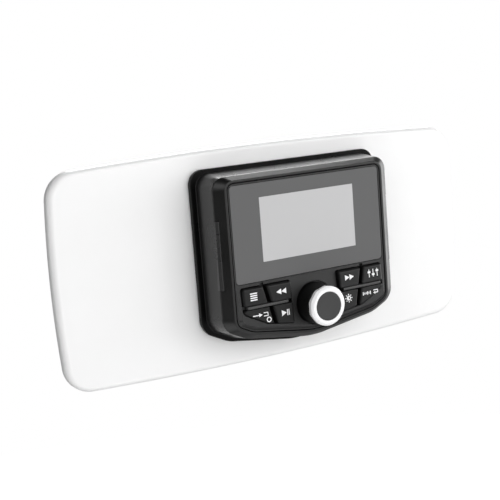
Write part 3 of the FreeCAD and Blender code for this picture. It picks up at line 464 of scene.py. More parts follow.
# One finish for each material slot of the record, and for the pieces that are drawn here alone
finishes = {
    "white_board": glossFinish("boardWhite", (0.905,) * 3, 0.32, Coat_Weight=0.15, Coat_Roughness=0.2),
    "seal_rubber": mouldedPlastic("sealRubber", 0.012, 0.02, 0.7, grain=0.0005, depth=0.00001),
    "housing_plastic": mouldedPlastic("housingPlastic", 0.012, 0.03, 0.3),
    # painted shade: the housing's plastic made near-black on its flange
    "flange_painted_shade": mouldedPlastic("flangePaintedShade", 0.002, 0.006, 0.3, Specular_IOR_Level=0.12),
    # painted light: the housing's plastic made lighter on the notch lands
    "land_plastic": mouldedPlastic("landPlastic", 0.028, 0.045, 0.3),
    "trim_plastic": mouldedPlastic("trimPlastic", 0.003, 0.012, 0.36, grain=0.00022),
    "fascia_plastic": mouldedPlastic("fasciaPlastic", 0.012, 0.03, 0.34, grain=0.00022),
    # painted highlight: the fascia's own plastic made lighter on the ribs
    "rib_painted_highlight": mouldedPlastic("ribPaintedHighlight", 0.05, 0.07, 0.36, grain=0.00022),
    "key_plastic": mouldedPlastic("keyBlack", 0.006, 0.016, 0.44, grain=0.0002, Specular_IOR_Level=0.3),
    "white_ink": mouldedPlastic("whiteInk", 0.9, 0.92, 0.5, grain=0.0003, depth=0.000002),
    "knob_plastic": mouldedPlastic("knobBlack", 0.002, 0.004, 0.5, grain=0.0002, Specular_IOR_Level=0.3),
    "ring_metal": metalFinish("ringMetal", 0.98, 0.96, 0.32, Metallic=0.0),
    "cap_plastic": mouldedPlastic("capCharcoal", 0.032, 0.06, 0.4, grain=0.0002),
    "lens_glass": glossFinish("lensSmoke", 0.125, 0.08, waviness=0.000002, unevenness=0.01,
                              Coat_Weight=0.5, Coat_Roughness=0.03),
    "display_glass": glossFinish("displayGrey", 0.54, 0.25, waviness=0.0, unevenness=0.006),
    "black_foam": mouldedPlastic("blackFoam", 0.01, 0.015, 0.85, grain=0.0008, depth=0.00004),
    "ribbon_film": glossFinish("ribbonFilm", (0.35, 0.18, 0.05), 0.3),
    "keypad_rubber": mouldedPlastic("keypadRubber", 0.2, 0.24, 0.6, grain=0.0005),
    "led_resin": glossFinish("lightResin", (0.8, 0.8, 0.7), 0.15),
    "circuit_board": glossFinish("boardGreen", (0.01, 0.09, 0.03), 0.3, waviness=0.00001, waveSize=0.001),
    "chip_resin": mouldedPlastic("chipResin", 0.012, 0.02, 0.5),
    "capacitor_sleeve": glossFinish("capacitorSleeve", (0.01, 0.015, 0.05), 0.2),
    "socket_white": mouldedPlastic("nylonNatural", (0.7, 0.68, 0.6), (0.75, 0.73, 0.66), 0.45),
    "socket_black": mouldedPlastic("nylonBlack", 0.012, 0.03, 0.4),
    "steel": metalFinish("screwSteel", 0.62, 0.5, 0.28, Metallic=1.0),
    "shield_tin": metalFinish("shieldTin", 0.6, 0.5, 0.3, Metallic=1.0),
    "black_aluminium": metalFinish("blackAnodised", 0.03, 0.022, 0.38, Metallic=0.9),
    "brass_plate": metalFinish("brassPlate", (0.72, 0.5, 0.22), (0.6, 0.4, 0.16), 0.25, Metallic=1.0),
    "nickel_plate": metalFinish("nickelPlate", (0.72, 0.7, 0.66), (0.6, 0.58, 0.55), 0.18, Metallic=1.0)}
for node, part in frame["nodes"].items():
    part.data.materials.clear()
    part.data.materials.append(finishes[slotOf[node]])
print("finishes:", len(finishes))


# Mounting board: slightly convex sides, large corners, rounded front edge, a hole for the barrel and
# four for the screws

board = {"width": 287.98, "height": 134.22, "thickness": 6.4, "shift": -9.8, "cornerRadius": 17.0,
         "cornerSteps": 14, "sideCuts": 23, "edgeRadius": 3.6, "edgeShares": (1.0, 0.12),
         "bulgeLong": 3.2, "bulgeShort": 1.6, "front": 26.0, "holeRadius": 44.1, "screwRadius": 1.55,
         "screwX": 56.3, "screwTop": 38.5, "screwLow": -24.0}


# The board's outline, each side bowed outwards between its corners
def boardLoop(bm, depth):
    r = board["cornerRadius"]
    halfWidth = board["width"] / 2 - board["bulgeShort"]
    halfHeight = board["height"] / 2 - board["bulgeLong"]
    corners = [(sx * halfWidth, sz * halfHeight, r) for sx, sz in ((1, 1), (1, -1), (-1, -1), (-1, 1))]
    before = set(bm.faces)
    face = outlineFace(bm, corners, depth, board["cornerSteps"])
    sides = sorted(face.edges, key=lambda e: -e.calc_length())[:4]
    bmesh.ops.subdivide_edges(bm, edges=sides, cuts=board["sideCuts"])
    face = [f for f in bm.faces if f not in before][0]
    for v in face.verts:
        across, up = abs(v.co.x) / (halfWidth - r), abs(v.co.z) / (halfHeight - r)
        if across < 1:
            v.co.z *= 1 + board["bulgeLong"] / halfHeight * (1 - across ** 2)
        if up < 1:
            v.co.x *= 1 + board["bulgeShort"] / halfWidth * (1 - up ** 2)
        v.co.x += board["shift"]
    edges = list(face.edges)
    bmesh.ops.delete(bm, geom=[face], context='FACES_ONLY')
    return edges


def screwSpots():
    return [(s * board["screwX"], z) for s in (1, -1) for z in (board["screwTop"], board["screwLow"])]


def makeBoard():
    bm = weightedMesh()
    depths = (board["front"], board["front"] + board["thickness"])
    outline = [boardLoop(bm, d) for d in depths]
    roundLoops(bm, outline, board["edgeShares"])
    circles = [(0.0, 0.0, board["holeRadius"], 96)]
    circles += [(x, z, board["screwRadius"], 24) for x, z in screwSpots()]
    holes = [[circleLoop(bm, x, z, r, d, steps) for d in depths] for x, z, r, steps in circles]
    for loops in [outline] + holes:
        stackLoops(bm, loops)
    for side in (0, 1):
        edges = outline[side] + [e for loops in holes for e in loops[side]]
        bmesh.ops.triangle_fill(bm, edges=edges, use_beauty=True)
    addPiece("mountingBoard", bm, "white_board", "stereo", ["mounting_board"],
             rounding=board["edgeRadius"], segments=8)


makeBoard()
print("board done")


# Housing: drafted shell with a flange, hollow inside, with bosses and posts for the screws

housing = {"front": 4.7, "shoulder": 22.0, "back": 24.8, "wall": 2.4, "windowRadius": 34.0, "edge": 0.45,
           "edgeShares": (0.4, 0.4, 1.0, 1.0, 0.8), "bossRadius": 3.3, "bossFront": 7.0,
           "postRadius": 2.6, "postFront": 11.2, "postSpots": ((47.0, 43.0), (49.0, -9.3)),
           "bossRoot": 0.5, "bossEdge": 0.2, "bossSteps": 40}


def makeHousing():
    bm = weightedMesh()
    bevel, rear = front["bevel"], grown(front["bevel"], front["draft"])
    flange = grown(rear, front["flange"])
    inner, outer = grown(bevel, -housing["wall"]), grown(rear, -housing["wall"])
    sections = [(outer, housing["shoulder"]), (inner, housing["front"]), (bevel, housing["front"]),
                (rear, housing["shoulder"]), (flange, housing["shoulder"]), (flange, housing["back"])]
    loops = [outlineLoop(bm, frontOutline(g), d) for g, d in sections]
    window = [circleLoop(bm, 0, 0, housing["windowRadius"], d)
              for d in (housing["shoulder"], housing["back"])]
    roundLoops(bm, loops[1:], housing["edgeShares"])
    stackLoops(bm, loops)
    stackLoops(bm, window)
    bmesh.ops.triangle_fill(bm, edges=loops[0] + window[0], use_beauty=True)
    bmesh.ops.triangle_fill(bm, edges=loops[-1] + window[1], use_beauty=True)
    # bosses for the mounting screws and posts for the fascia screws
    spots = [(x, z, housing["bossRadius"], housing["bossFront"]) for x, z in screwSpots()]
    spots += [(s * x, z, housing["postRadius"], housing["postFront"]) for s in (1, -1)
              for x, z in housing["postSpots"]]
    for x, z, r, d in spots:
        post = rodMesh(bm, x, z, r, d, housing["shoulder"] + housing["bossRoot"], housing["bossSteps"])
        bevelAll(bm, post, housing["bossEdge"])
    # the flange is painted near-black, darker than the rest of the housing: painted shade for the dark
    # gap at its ledge
    for f in bm.faces:
        if min(v.co.y for v in f.verts) > faceY + housing["shoulder"] - hair:
            f.material_index = 1
    addPiece("frontHousing", bm, ["housing_plastic", "flange_painted_shade"], "stereo",
             ["front_housing"], rounding=housing["edge"], segments=4)


# Lands of the housing that fill the trim's notches, a hair proud of the shell at their lower ends

land = {"notchTop": 27.0, "notchBottom": -14.5, "gap": 0.35, "front": 2.8, "back": 10.7, "below": 0.1,
        "proud": 0.25, "edge": 0.2}


# The lands are painted lighter than the housing plastic they are made of: painted light
def makeLands():
    bm = bmesh.new()
    low, high = land["notchBottom"] + land["gap"], land["notchTop"] - land["gap"]
    side = front["halfWidth"] + front["bevel"][0]
    inside, outside = side - housing["wall"], side - land["below"]
    run = (front["bevel"][0] - front["lip"][0]) / (front["slopeEnd"] - front["trimFace"])
    tip = outside - run * (front["slopeEnd"] - land["front"])
    points = [(inside, land["front"]), (tip, land["front"]), (outside, front["slopeEnd"]),
              (outside, land["back"]), (inside, land["back"])]
    for s in (1, -1):
        flat = bm.faces.new([bm.verts.new((s * x, faceY + d, low)) for x, d in points])
        bmesh.ops.translate(bm, vec=(0, 0, high - low), verts=extruded(bm, [flat]))
        foot = [v for v in flat.verts if abs(v.co.x) > inside + hair]
        bmesh.ops.translate(bm, vec=(s * land["proud"], 0, 0), verts=foot)
    addPiece("notchLands", bm, "land_plastic", "stereo", rounding=land["edge"], segments=2,
             bySharpness=True)


gasket = {"inset": 0.35, "holeRadius": 43.9}


def makeGasket():
    bm = bmesh.new()
    flange = grown(grown(front["bevel"], front["draft"]), front["flange"])
    outline = frontOutline(grown(flange, -gasket["inset"]))
    loops = [outlineLoop(bm, outline, d) for d in (housing["back"], board["front"])]
    holes = [circleLoop(bm, 0, 0, gasket["holeRadius"], d) for d in (housing["back"], board["front"])]
    stackLoops(bm, loops)
    stackLoops(bm, holes)
    for loop, hole in zip(loops, holes):
        bmesh.ops.triangle_fill(bm, edges=loop + hole, use_beauty=True)
    addPiece("dashGasket", bm, "seal_rubber", "stereo", ["dash_gasket"])


makeHousing()
makeLands()
makeGasket()
print("housing and gasket done")


# Trim: a hollow moulding that slopes from the lip round the fascia to the housing's edge

trim = {"back": 4.4, "innerWall": 1.6, "skin": 1.3, "slopeSkin": 1.0, "hollowDepth": 2.4,
        "lipEdge": 0.35, "edgeShares": (0.6, 1.0, 1.0), "notchInside": 58.65, "notchFront": 2.45,
        "notchBack": 8.0, "notchReach": 80.0}
clip = {"topXs": (-36.0, 0.0, 36.0), "sideZ": 7.0, "chinShares": (0.3, 0.75), "length": 9.0,
        "reach": 4.5, "thickness": 1.2, "gap": 0.3, "rootDepth": 2.7, "edge": 0.15,
        "beadRadius": 0.45, "beadLength": 7.0, "beadSteps": 16}


# Middles and turns of the clips: three along the top, four along the chin, one in each side
def clipPlaces():
    corners = frontOutline(grown(front["bevel"], -housing["wall"] - clip["gap"]))
    top, chin, apex = corners[0], corners[2], corners[3]
    slope = math.atan2(chin[1] - apex[1], chin[0] - apex[0])
    places = [(x, top[1], 0.0) for x in clip["topXs"]]
    for share in clip["chinShares"]:
        x, z = apex[0] + (chin[0] - apex[0]) * share, apex[1] + (chin[1] - apex[1]) * share
        places += [(x, z, slope + math.pi), (-x, z, math.pi - slope)]
    return places + [(s * top[0], clip["sideZ"], -s * math.pi / 2) for s in (1, -1)]


def makeTrim():
    bm = weightedMesh()
    lip, bevel, face, slopeEnd = front["lip"], front["bevel"], front["trimFace"], front["slopeEnd"]
    back, hollow = trim["back"], trim["hollowDepth"]
    underSlope = between(lip, bevel, (hollow - face) / (slopeEnd - face))
    opening, wall, skin = (0.0,) * 4, (trim["innerWall"],) * 4, grown(bevel, -trim["skin"])
    sections = [(opening, back), (opening, face), (lip, face), (bevel, slopeEnd), (bevel, back),
                (skin, back), (skin, slopeEnd), (grown(underSlope, -trim["slopeSkin"]), hollow),
                (wall, hollow), (wall, back)]
    loops = [outlineLoop(bm, frontOutline(g), d) for g, d in sections]
    roundLoops(bm, loops[1:4], trim["edgeShares"])
    stackLoops(bm, loops, closed=True)
    piece = addPiece("trimBezel", bm, "trim_plastic", "trim", ["trim_bezel"],
                     rounding=trim["lipEdge"], segments=4)
    cutters = [cutterBox(*sorted((s * trim["notchInside"], s * trim["notchReach"])), trim["notchFront"],
                         trim["notchBack"], land["notchBottom"], land["notchTop"]) for s in (1, -1)]
    cutFrom(piece, cutters)


# Tongues behind the trim that reach into the housing, each with a bead that snaps behind its wall
def makeClips():
    bm = bmesh.new()
    half, end = clip["length"] / 2, front["slopeEnd"] + clip["reach"]
    beadAt = (Matrix.Translation((0, faceY + end - 2 * clip["beadRadius"], -clip["thickness"]))
              @ Matrix.Rotation(math.pi / 2, 4, 'Y'))
    for x, z, turn in clipPlaces():
        tongue = boxMesh(bm, -half, half, clip["rootDepth"], end, -clip["thickness"], 0.0)
        bead = bmesh.ops.create_cone(bm, cap_ends=True, radius1=clip["beadRadius"],
                                     radius2=clip["beadRadius"], depth=clip["beadLength"],
                                     segments=clip["beadSteps"], matrix=beadAt)["verts"]
        turned = Matrix.Translation((x, 0, z)) @ Matrix.Rotation(-turn, 4, 'Y')
        bmesh.ops.transform(bm, matrix=turned, verts=tongue + bead)
    addPiece("trimClips", bm, "trim_plastic", "trim", rounding=clip["edge"], segments=2,
             bySharpness=True)


makeTrim()
makeClips()
print("trim done")


# Keys: two mirrored clusters of four, with leaning faces, wide soft rims and slanted gaps

keys = {"innerX": 16.5, "outerX": 50.7, "top": -13.8, "chinGrow": -5.1, "shoulderGrow": -7.4,
        "gap": 0.45, "ribZ": -25.9, "ribHeight": 1.45, "ribGap": 0.3, "ribRim": 0.35,
        "splitTopX": 35.3, "splitSlope": 0.235, "splitGap": 1.9, "proud": 2.2, "leanIn": 0.03,
        "leanDown": 0.06, "back": 0.9, "rimWidth": 1.4, "rimDepth": 1.2, "rimSteps": 7, "draft": 0.2,
        "corner": 1.25, "innerCorner": 1.4, "topCorner": 1.8, "lowCorner": 1.5, "shoulderCorner": 5.0,
        "chinCorner": 12.0, "leastCorner": 0.12, "cornerSteps": 6,
        "stemWidth": 7.0, "stemHeight": 3.6, "stemTip": 4.3, "stemRoot": 0.4}


# The faces lean: prouder towards the middle and towards the chin
def keyFaceDepth(x, z):
    lean = keys["leanIn"] * (keys["outerX"] - abs(x)) + keys["leanDown"] * (keys["top"] - z)
    return -keys["proud"] - lean


def splitX(z):
    return keys["splitTopX"] - keys["splitSlope"] * (keys["top"] - z)


# Corners (x, z, radius) of the four right keys: outer top, inner top, outer low, inner low
def keyOutlines():
    gap, corner, inward = keys["gap"], keys["corner"], keys["innerCorner"]
    shoulder, chin = slantedLines(keys["shoulderGrow"] - gap, keys["chinGrow"] - gap)
    x0, x1, z1 = keys["innerX"] + gap, keys["outerX"] - gap, keys["top"] - gap
    half = keys["ribHeight"] / 2 + keys["ribGap"]
    up, down = keys["ribZ"] + half, keys["ribZ"] - half
    upright, split = (0.0, 1.0), (keys["splitSlope"], 1.0)
    outer, inner = ((splitX(0) + s * keys["splitGap"] / 2, 0.0) for s in (1, -1))

    def splitAt(start, z):
        return crossing(start, split, (0.0, z), (1.0, 0.0))

    return [
        [(*splitAt(outer, z1), corner), (x1, z1, keys["topCorner"]), (x1, up, corner),
         (*splitAt(outer, up), corner)],
        [(x0, z1, inward), (*splitAt(inner, z1), corner), (*splitAt(inner, up), corner),
         (x0, up, corner)],
        [(*splitAt(outer, down), corner), (x1, down, keys["lowCorner"]),
         (*crossing((x1, 0.0), upright, *shoulder), keys["shoulderCorner"]),
         (*crossing(*shoulder, *chin), keys["chinCorner"]), (*crossing(outer, split, *chin), corner)],
        [(x0, down, corner), (*splitAt(inner, down), corner), (*crossing(inner, split, *chin), corner),
         (*crossing((x0, 0.0), upright, *chin), inward)]]


# The outline drawn in by a width, less along the rib. The corners run clockwise as seen from the front
def drawnIn(corners, width):
    ends = [(x, z) for x, z, r in corners]
    sides = []
    for a, b in zip(ends, ends[1:] + ends[:1]):
        alongRib = a[1] == b[1] and abs(a[1] - keys["ribZ"]) < keys["ribHeight"]
        sides.append(movedLine(a, b, -width * (keys["ribRim"] if alongRib else 1.0)))
    return [(*crossing(*sides[i - 1], *sides[i]), max(r - width, keys["leastCorner"]))
            for i, (x, z, r) in enumerate(corners)]


# One key: a skirt that runs back into its pocket, a rounded rim, a flat face and a stem
def makeKey(name, outline, mirrored):
    bm = bmesh.new()
    turns = [math.pi / 2 * i / keys["rimSteps"] for i in range(keys["rimSteps"] + 1)]
    rim = [(keys["draft"] + keys["rimWidth"] * (1 - math.cos(t)), keys["rimDepth"] * (1 - math.sin(t)))
           for t in turns]
    loops = [outlineLoop(bm, outline, 0.0, keys["cornerSteps"])]
    loops += [outlineLoop(bm, drawnIn(outline, width), drop, keys["cornerSteps"]) for width, drop in rim]
    stackLoops(bm, loops)
    for v in {v for edges in loops[1:] for e in edges for v in e.verts}:
        v.co.y += keyFaceDepth(v.co.x, v.co.z)
    for v in {v for e in loops[0] for v in e.verts}:
        v.co.y += keys["back"]
    for edges in (loops[0], loops[-1]):
        bmesh.ops.contextual_create(bm, geom=edges)
    x, z = (sum(corner[i] for corner in outline) / len(outline) for i in (0, 1))
    wide, high = keys["stemWidth"] / 2, keys["stemHeight"] / 2
    boxMesh(bm, x - wide, x + wide, keys["back"] - keys["stemRoot"], keys["stemTip"], z - high, z + high)
    if mirrored:
        bmesh.ops.scale(bm, vec=(-1, 1, 1), verts=bm.verts)
    addPiece(name + "Key", bm, "key_plastic", name + "_key", ["key_" + name])


pairs = (("preset", "menu"), ("forward", "rewind"), ("band", "source"), ("brightness", "play"))
for outline, (rightName, leftName) in zip(keyOutlines(), pairs):
    makeKey(rightName, outline, False)
    makeKey(leftName, outline, True)
print("keys done")


# Signs on the keys: thin white raised shapes, each with its middle (x, z) and its parts round it. A bar
# has its middle, width and height, and an arrow its tip, length and height. A ring or half disc has
# its middle, outer and inner radius, and a ray of the sun its angle, distance, length and width.

signs = {"proud": 0.045, "root": 0.06, "corner": 0.09, "cornerSteps": 3, "roundSteps": 32, "shapes": {
    "menu": ((-43.2, -19.6), [("bar", 0.0, z, 4.6, 0.72) for z in (1.95, 0.65, -0.65, -1.95)]),
    "rewind": ((-24.6, -19.35), [("arrow", x, 0.0, 3.4, 3.4) for x in (-3.45, -0.05)]),
    "play": ((-23.15, -32.4), [("arrow", 0.75, 0.0, -3.3, 3.7), ("bar", 1.35, 0.0, 0.62, 3.6),
                               ("bar", 2.4, 0.0, 0.62, 3.6)]),
    "source": ((-40.25, -31.0), [("bar", -2.7, 0.0, 4.4, 0.6), ("arrow", 1.6, 0.0, -2.3, 2.4),
                                 ("bar", 3.9, 0.95, 3.0, 0.5), ("bar", 3.9, -0.95, 3.0, 0.5),
                                 ("bar", 5.2, 0.0, 0.5, 2.4), ("ring", 5.6, -3.5, 1.65, 1.05)]),
    "forward": ((24.75, -18.95), [("arrow", x, 0.0, -3.4, 3.4) for x in (3.45, 0.05)]),
    "preset": ((43.1, -19.25), [("bar", x, 0.0, 0.5, 4.9) for x in (-3.1, 0.0, 3.1)]
               + [("bar", x, z, 2.1, 1.25) for x, z in ((-3.1, 0.7), (0.0, -0.9), (3.1, 1.1))]),
    "brightness": ((22.8, -31.75), [("ring", 0.0, 0.0, 1.5, 0.9), ("half", 0.0, 0.0, 1.2, 0.0)]
                   + [("ray", angle, 2.25, 0.8, 0.6) for angle in range(0, 360, 45)]),
    "band": ((40.1, -31.1), [("bar", x, 0.0, 0.6, 2.1) for x in (-6.0, -2.7, -0.5)]
             + [("bar", x, 0.0, 0.6, 1.2) for x in (-4.9, -3.8, -1.6)]
             + [("bar", 3.6, 1.0, 3.2, 0.6), ("bar", 5.2, 0.2, 0.6, 2.2), ("bar", 4.0, -0.6, 2.6, 0.6),
                ("arrow", 1.7, -0.6, 1.6, 1.9)])}}


# A ring, or the left half of a disc
def roundShape(bm, kind, x, z, outer, inner):
    at = Matrix.Translation((x, 0, z)) @ Matrix.Rotation(math.pi / 2, 4, 'X')
    steps = signs["roundSteps"]
    rim = bmesh.ops.create_circle(bm, cap_ends=kind == "half", radius=outer, segments=steps,
                                  matrix=at)["verts"]
    if kind == "half":
        bmesh.ops.delete(bm, geom=[v for v in rim if v.co.x > x + hair], context='VERTS')
        bmesh.ops.contextual_create(bm, geom=[v for v in rim if v.is_valid])
        return
    hole = bmesh.ops.create_circle(bm, cap_ends=False, radius=inner, segments=steps, matrix=at)["verts"]
    bmesh.ops.bridge_loops(bm, edges=linkedEdges(rim + hole))


# A bar, an arrowhead or a ray, with its corners softened
def straightShape(bm, kind, x, z, a, b):
    square = [(dx * a / 2, dz * b / 2) for dx, dz in ((-1, -1), (1, -1), (1, 1), (-1, 1))]
    if kind == "arrow":
        points = [(x, z), (x + a, z + b / 2), (x + a, z - b / 2)]
    elif kind == "bar":
        points = [(x + dx, z + dz) for dx, dz in square]
    else:
        c, s = math.cos(math.radians(x)), math.sin(math.radians(x))
        points = [((z + dx) * c - dz * s, (z + dx) * s + dz * c) for dx, dz in square]
    face = bm.faces.new([bm.verts.new((px, 0.0, pz)) for px, pz in points])
    bevelParts(bm, face.verts[:], signs["corner"], signs["cornerSteps"], clamp=True)


def makeSigns():
    for name, ((x, z), shapes) in signs["shapes"].items():
        bm = bmesh.new()
        for shape in shapes:
            draw = roundShape if shape[0] in ("ring", "half") else straightShape
            draw(bm, *shape)
        bmesh.ops.recalc_face_normals(bm, faces=bm.faces)
        lifted = set(extruded(bm, bm.faces[:]))
        for v in bm.verts:
            v.co += Vector((x, 0, z))
            step = -signs["proud"] if v in lifted else signs["root"]
            v.co.y = faceY + keyFaceDepth(v.co.x, v.co.z) + step
        addPiece(name + "Sign", bm, "white_ink", name + "_key")


makeSigns()
print("signs done")


# Knob: black skirt, faceted bright ring, dished cap, on the encoder's shaft. The ring's curves are
# offsets (radius, depth): from its bore and its face's rim, and from its widest radius.

knob = {"z": -30.8, "steps": 120, "skirtRear": 12.6, "skirtFront": 12.0, "rear": 0.2, "wall": 1.7,
        "skirtEdge": (0.05, 0.45, 0.5), "bossRadius": 5.0, "bossBack": -4.2, "shaftRadius": 3.0,
        "shaftTip": -10.1, "ringDepth": -12.2, "ringFront": -16.2, "ringBore": 8.75, "ringFace": 10.5,
        "ringRadius": 12.1, "boreCurve": ((0.0, 0.35), (0.1, 0.1), (0.35, 0.0)),
        "faceCurve": ((-0.1, 0.0), (0.25, 0.12)), "sideCurve": ((-0.35, 0.95), (0.0, 1.35)),
        "ringEdge": 0.3, "ringSides": 10, "ringTurn": 18.0, "capDepth": -16.3, "capGap": 0.1,
        "capThickness": 1.0, "capEdge": 0.2, "dish": 0.22, "dishRim": 0.05,
        "dishShares": (0.0, 0.2, 0.4, 0.6, 0.8, 0.96)}


def makeSkirt():
    bm = bmesh.new()
    top, under = knob["ringDepth"], knob["ringDepth"] + knob["wall"]
    rear, side = knob["skirtRear"], knob["skirtFront"]
    hub, seat = knob["ringBore"] - knob["capGap"], knob["capDepth"] + knob["capThickness"]
    out, back, down = knob["skirtEdge"]
    profile = [(0.0, knob["shaftTip"]), (knob["shaftRadius"], knob["shaftTip"]),
               (knob["shaftRadius"], knob["bossBack"]), (knob["bossRadius"], knob["bossBack"]),
               (knob["bossRadius"], under), (side - knob["wall"], under),
               (rear - knob["wall"], knob["rear"]), (rear, knob["rear"]), (side + out, top + down),
               (side - back, top), (hub, top), (hub, seat), (0.0, seat)]
    spunMesh(bm, 0, knob["z"], profile, knob["steps"])
    addPiece("knobSkirt", bm, "knob_plastic", "knob", ["knob_skirt"])


def makeRing():
    bm = bmesh.new()
    bore, outside, rear = knob["ringBore"], knob["ringRadius"], knob["ringDepth"]
    curves = ((bore, knob["boreCurve"]), (knob["ringFace"], knob["faceCurve"]),
              (outside, knob["sideCurve"]))
    profile = [(r + dr, knob["ringFront"] + dd) for r, curve in curves for dr, dd in curve]
    profile += [(outside, rear - knob["ringEdge"]), (outside - knob["ringEdge"], rear), (bore, rear)]
    spunMesh(bm, 0, knob["z"], profile + profile[:1], knob["steps"])
    # ten flats that run out towards the front
    step = 2 * math.pi / knob["ringSides"]
    start, end = knob["ringFront"] + knob["sideCurve"][0][1], rear - knob["ringEdge"]
    for v in bm.verts:
        dx, dz = v.co.x, v.co.z - knob["z"]
        angle = (math.atan2(dz, dx) - math.radians(knob["ringTurn"])) % step - step / 2
        runOut = min(1.0, max(0.0, (v.co.y - faceY - start) / (end - start)))
        flat = outside * math.cos(step / 2) / math.cos(angle)
        r = math.hypot(dx, dz)
        limit = r + (flat - r) * runOut
        if r > limit:
            v.co.x *= limit / r
            v.co.z = knob["z"] + dz * limit / r
    addPiece("knobRing", bm, "ring_metal", "knob", ["knob_ring"])


def makeCap():
    bm = bmesh.new()
    r, face = knob["ringBore"] - knob["capGap"], knob["capDepth"]
    seat = face + knob["capThickness"]
    profile = [(r * t, face + knob["dishRim"] + knob["dish"] * (1 - t * t)) for t in knob["dishShares"]]
    profile += [(r, face + knob["capEdge"]), (r, seat), (0.0, seat)]
    spunMesh(bm, 0, knob["z"], profile, knob["steps"])
    addPiece("knobCap", bm, "cap_plastic", "knob", ["knob_cap"])


makeSkirt()
makeRing()
makeCap()
print("knob done")


# Lens with the display's window as its own clear region

lens = {"halfWidth": 52.5, "bottom": -11.8, "top": 46.3, "corner": 2.3, "cornerSteps": 8, "back": 1.45,
        "edge": 0.18, "edgeSteps": 3, "viewWidth": 66.4, "viewHeight": 38.4, "viewZ": 18.5}


def makeLens():
    bm = bmesh.new()
    w, c = lens["halfWidth"], lens["corner"]
    corners = [(w, lens["top"], c), (w, lens["bottom"], c), (-w, lens["bottom"], c), (-w, lens["top"], c)]
    face = outlineFace(bm, corners, lens["back"], lens["cornerSteps"])
    cap = extruded(bm, [face], bmesh.types.BMFace)[0]
    for v in cap.verts:
        v.co.y = faceY + lensDrop
    bevelParts(bm, list(cap.edges), lens["edge"], lens["edgeSteps"], 'EDGES')
    # cut along the window's four sides, so that its face takes the display's finish
    halfX, halfZ, middleZ = lens["viewWidth"] / 2, lens["viewHeight"] / 2, lens["viewZ"]
    cuts = [((s * halfX, 0, 0), (1, 0, 0)) for s in (1, -1)]
    cuts += [((0, 0, middleZ + s * halfZ), (0, 0, 1)) for s in (1, -1)]
    for spot, normal in cuts:
        bmesh.ops.bisect_plane(bm, geom=bm.verts[:] + bm.edges[:] + bm.faces[:], plane_co=spot,
                               plane_no=normal)
    for f in bm.faces:
        at = f.calc_center_median()
        inWindow = abs(at.x) < halfX and abs(at.z - middleZ) < halfZ
        if inWindow and at.y < faceY + lensDrop + hair:
            f.material_index = 1
    addPiece("displayLens", bm, ["lens_glass", "display_glass"], "stereo",
             ["display_lens"])


makeLens()
print("lens done")


# Moulded and machined pieces whose shape is right as built: a merged copy with softened edges

softened = {"fascia": ("fasciaFrame", 0.3), "rear_barrel": ("rearBarrel", 0.5),
            "heat_sink": ("heatSink", 0.25), "speaker_socket": ("speakerSocket", 0.3),
            "power_socket": ("powerSocket", 0.3), "data_socket": ("dataSocket", 0.25),
            "antenna_socket": ("antennaSocket", 0.25), "line_sockets": ("lineSockets", 0.25),
            "heat_sink_screws": ("heatSinkScrews", 0.15), "mounting_screws": ("mountingScrews", 0.15),
            "socket_pins": ("socketPins", 0.12)}
merging = {"distance": 0.001, "flatAngle": 0.4}
rib = {"reach": 0.8, "frontDepth": -0.3, "swell": 0.18}


# The bars between the key rows, a little fuller than the rest of the fascia and painted lighter: a
# painted highlight
def onRib(at, depth):
    nearRib = abs(at.z - keys["ribZ"]) < rib["reach"] and abs(at.x) > keys["innerX"]
    return nearRib and at.y < faceY + depth


def softenedCopy(node, name, width):
    bm = bmesh.new()
    bm.from_mesh(frame["nodes"][node].data)
    bmesh.ops.remove_doubles(bm, verts=bm.verts, dist=merging["distance"] * mm)
    bmesh.ops.dissolve_limit(bm, angle_limit=math.radians(merging["flatAngle"]), verts=bm.verts,
                             edges=bm.edges)
    bmesh.ops.scale(bm, vec=(1 / mm,) * 3, verts=bm.verts)
    looks = [slotOf[node]]
    if node == "fascia":
        # the ribs take the lighter copy of the plastic, a painted highlight
        looks.append("rib_painted_highlight")
        for f in bm.faces:
            f.material_index = int(onRib(f.calc_center_median(), rib["frontDepth"]))
        for v in [v for v in bm.verts if onRib(v.co, 0.0)]:
            v.co.z += math.copysign(rib["swell"], v.co.z - keys["ribZ"])
    addPiece(name, bm, looks, bodyOf[node], [node], rounding=width, segments=2, bySharpness=True,
             outward=False)


for node, (name, width) in softened.items():
    softenedCopy(node, name, width)
print("softened pieces:", len(softened))


# Camera where the photograph's was

view = {"place": (-0.35093, -0.58165, 0.11724), "azimuth": 29.372, "elevation": -9.850,
        "roll": -4.415, "lens": 78.948, "sensor": 36.0}
camera = newObject("camera", bpy.data.cameras.new("camera"))
camera.data.lens = view["lens"]
camera.data.sensor_width = view["sensor"]
placed = Matrix.Translation(view["place"])
for angle, axis in ((-view["azimuth"], 'Z'), (90 + view["elevation"], 'X'), (view["roll"], 'Z')):
    placed = placed @ Matrix.Rotation(math.radians(angle), 4, axis)
camera.matrix_world = placed
bpy.context.scene.camera = camera
bpy.context.scene.view_settings.view_transform = 'Standard'


# Studio: a floor and a surround that look white to the camera and light the object dimly, and soft
# panels, which the black plastic mirrors. Each panel has its place in metres and its radiance.

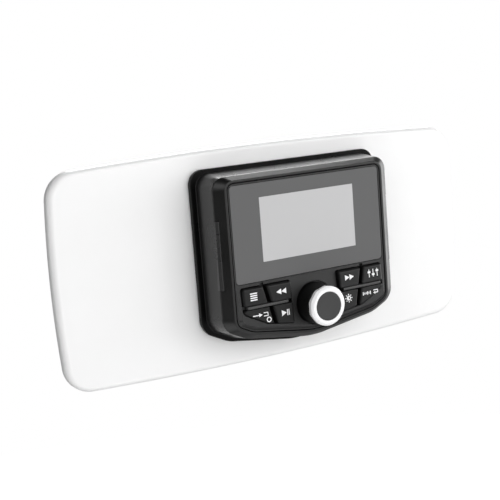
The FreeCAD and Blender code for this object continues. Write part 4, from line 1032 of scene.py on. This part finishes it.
studio = {"floorZ": -1.65, "floorSize": 4.5, "floorTone": 0.5, "floorGlow": 0.0, "surround": 0.05,
          "panelSize": 1.2,
          "panels": {"backHigh": ((0.84, 1.42, 1.29), 9.0),
                     "right": ((2.10, 0.00, 0.00), 4.45),
                     "rightFront": ((1.72, -1.12, 0.15), 3.1),
                     "key": ((1.05, -1.58, 0.95), 2.1),
                     "frontHigh": ((0.15, -1.65, 1.27), 1.85),
                     "leftHigh": ((-1.35, -1.20, 1.05), 1.7),
                     "front": ((0.22, -2.10, 0.15), 1.65),
                     "left": ((-2.10, -0.22, 0.08), 1.35),
                     "lowLeft": ((-0.90, -0.68, -1.12), 1.15),
                     "lowFront": ((0.30, -1.20, -1.12), 1.1),
                     "low": ((0.83, -1.65, -0.33), 0.4),
                     "rightTop": ((1.27, 0.63, 1.58), 0.4)}}


# A soft box aimed at the object, with the radiance that a mirror would show
def makePanel(name, at, radiance):
    lamp = bpy.data.lights.new(name, 'AREA')
    lamp.shape = 'SQUARE'
    lamp.size = studio["panelSize"]
    lamp.energy = radiance * math.pi * studio["panelSize"] ** 2
    panel = newObject(name, lamp)
    panel.location = at
    panel.rotation_euler = (-Vector(at)).to_track_quat('-Z', 'Y').to_euler()
    panel.visible_camera = False


# Full white where the camera looks at it, and dim as a light on the object
def seenWhite(tree, dim, socket):
    rays = place(tree, 'ShaderNodeLightPath', (-600, -200))
    level = place(tree, 'ShaderNodeMapRange', (-400, -200), {"To Min": dim, "To Max": 1.0})
    tree.links.new(rays.outputs["Is Camera Ray"], level.inputs["Value"])
    tree.links.new(level.outputs["Result"], socket)


def makeFloor():
    bm = bmesh.new()
    bmesh.ops.create_circle(bm, cap_ends=True, radius=studio["floorSize"], segments=96,
                            matrix=Matrix.Translation((0, 0, studio["floorZ"])))
    floor = meshObject("floor", bm)
    paper, shader = newMaterial("paleFloor", (studio["floorTone"],) * 3, Roughness=0.9)
    shader.inputs["Emission Color"].default_value = (1, 1, 1, 1)
    seenWhite(paper.node_tree, studio["floorGlow"], shader.inputs["Emission Strength"])
    floor.data.materials.append(paper)


def makeSurround():
    world = bpy.data.worlds.new("surround")
    bpy.context.scene.world = world
    world.use_nodes = True
    background = world.node_tree.nodes["Background"]
    background.inputs["Color"].default_value = (1, 1, 1, 1)
    seenWhite(world.node_tree, studio["surround"], background.inputs["Strength"])


makeFloor()
makeSurround()
for name, settings in studio["panels"].items():
    makePanel(name + "Panel", *settings)
print("camera and studio done")
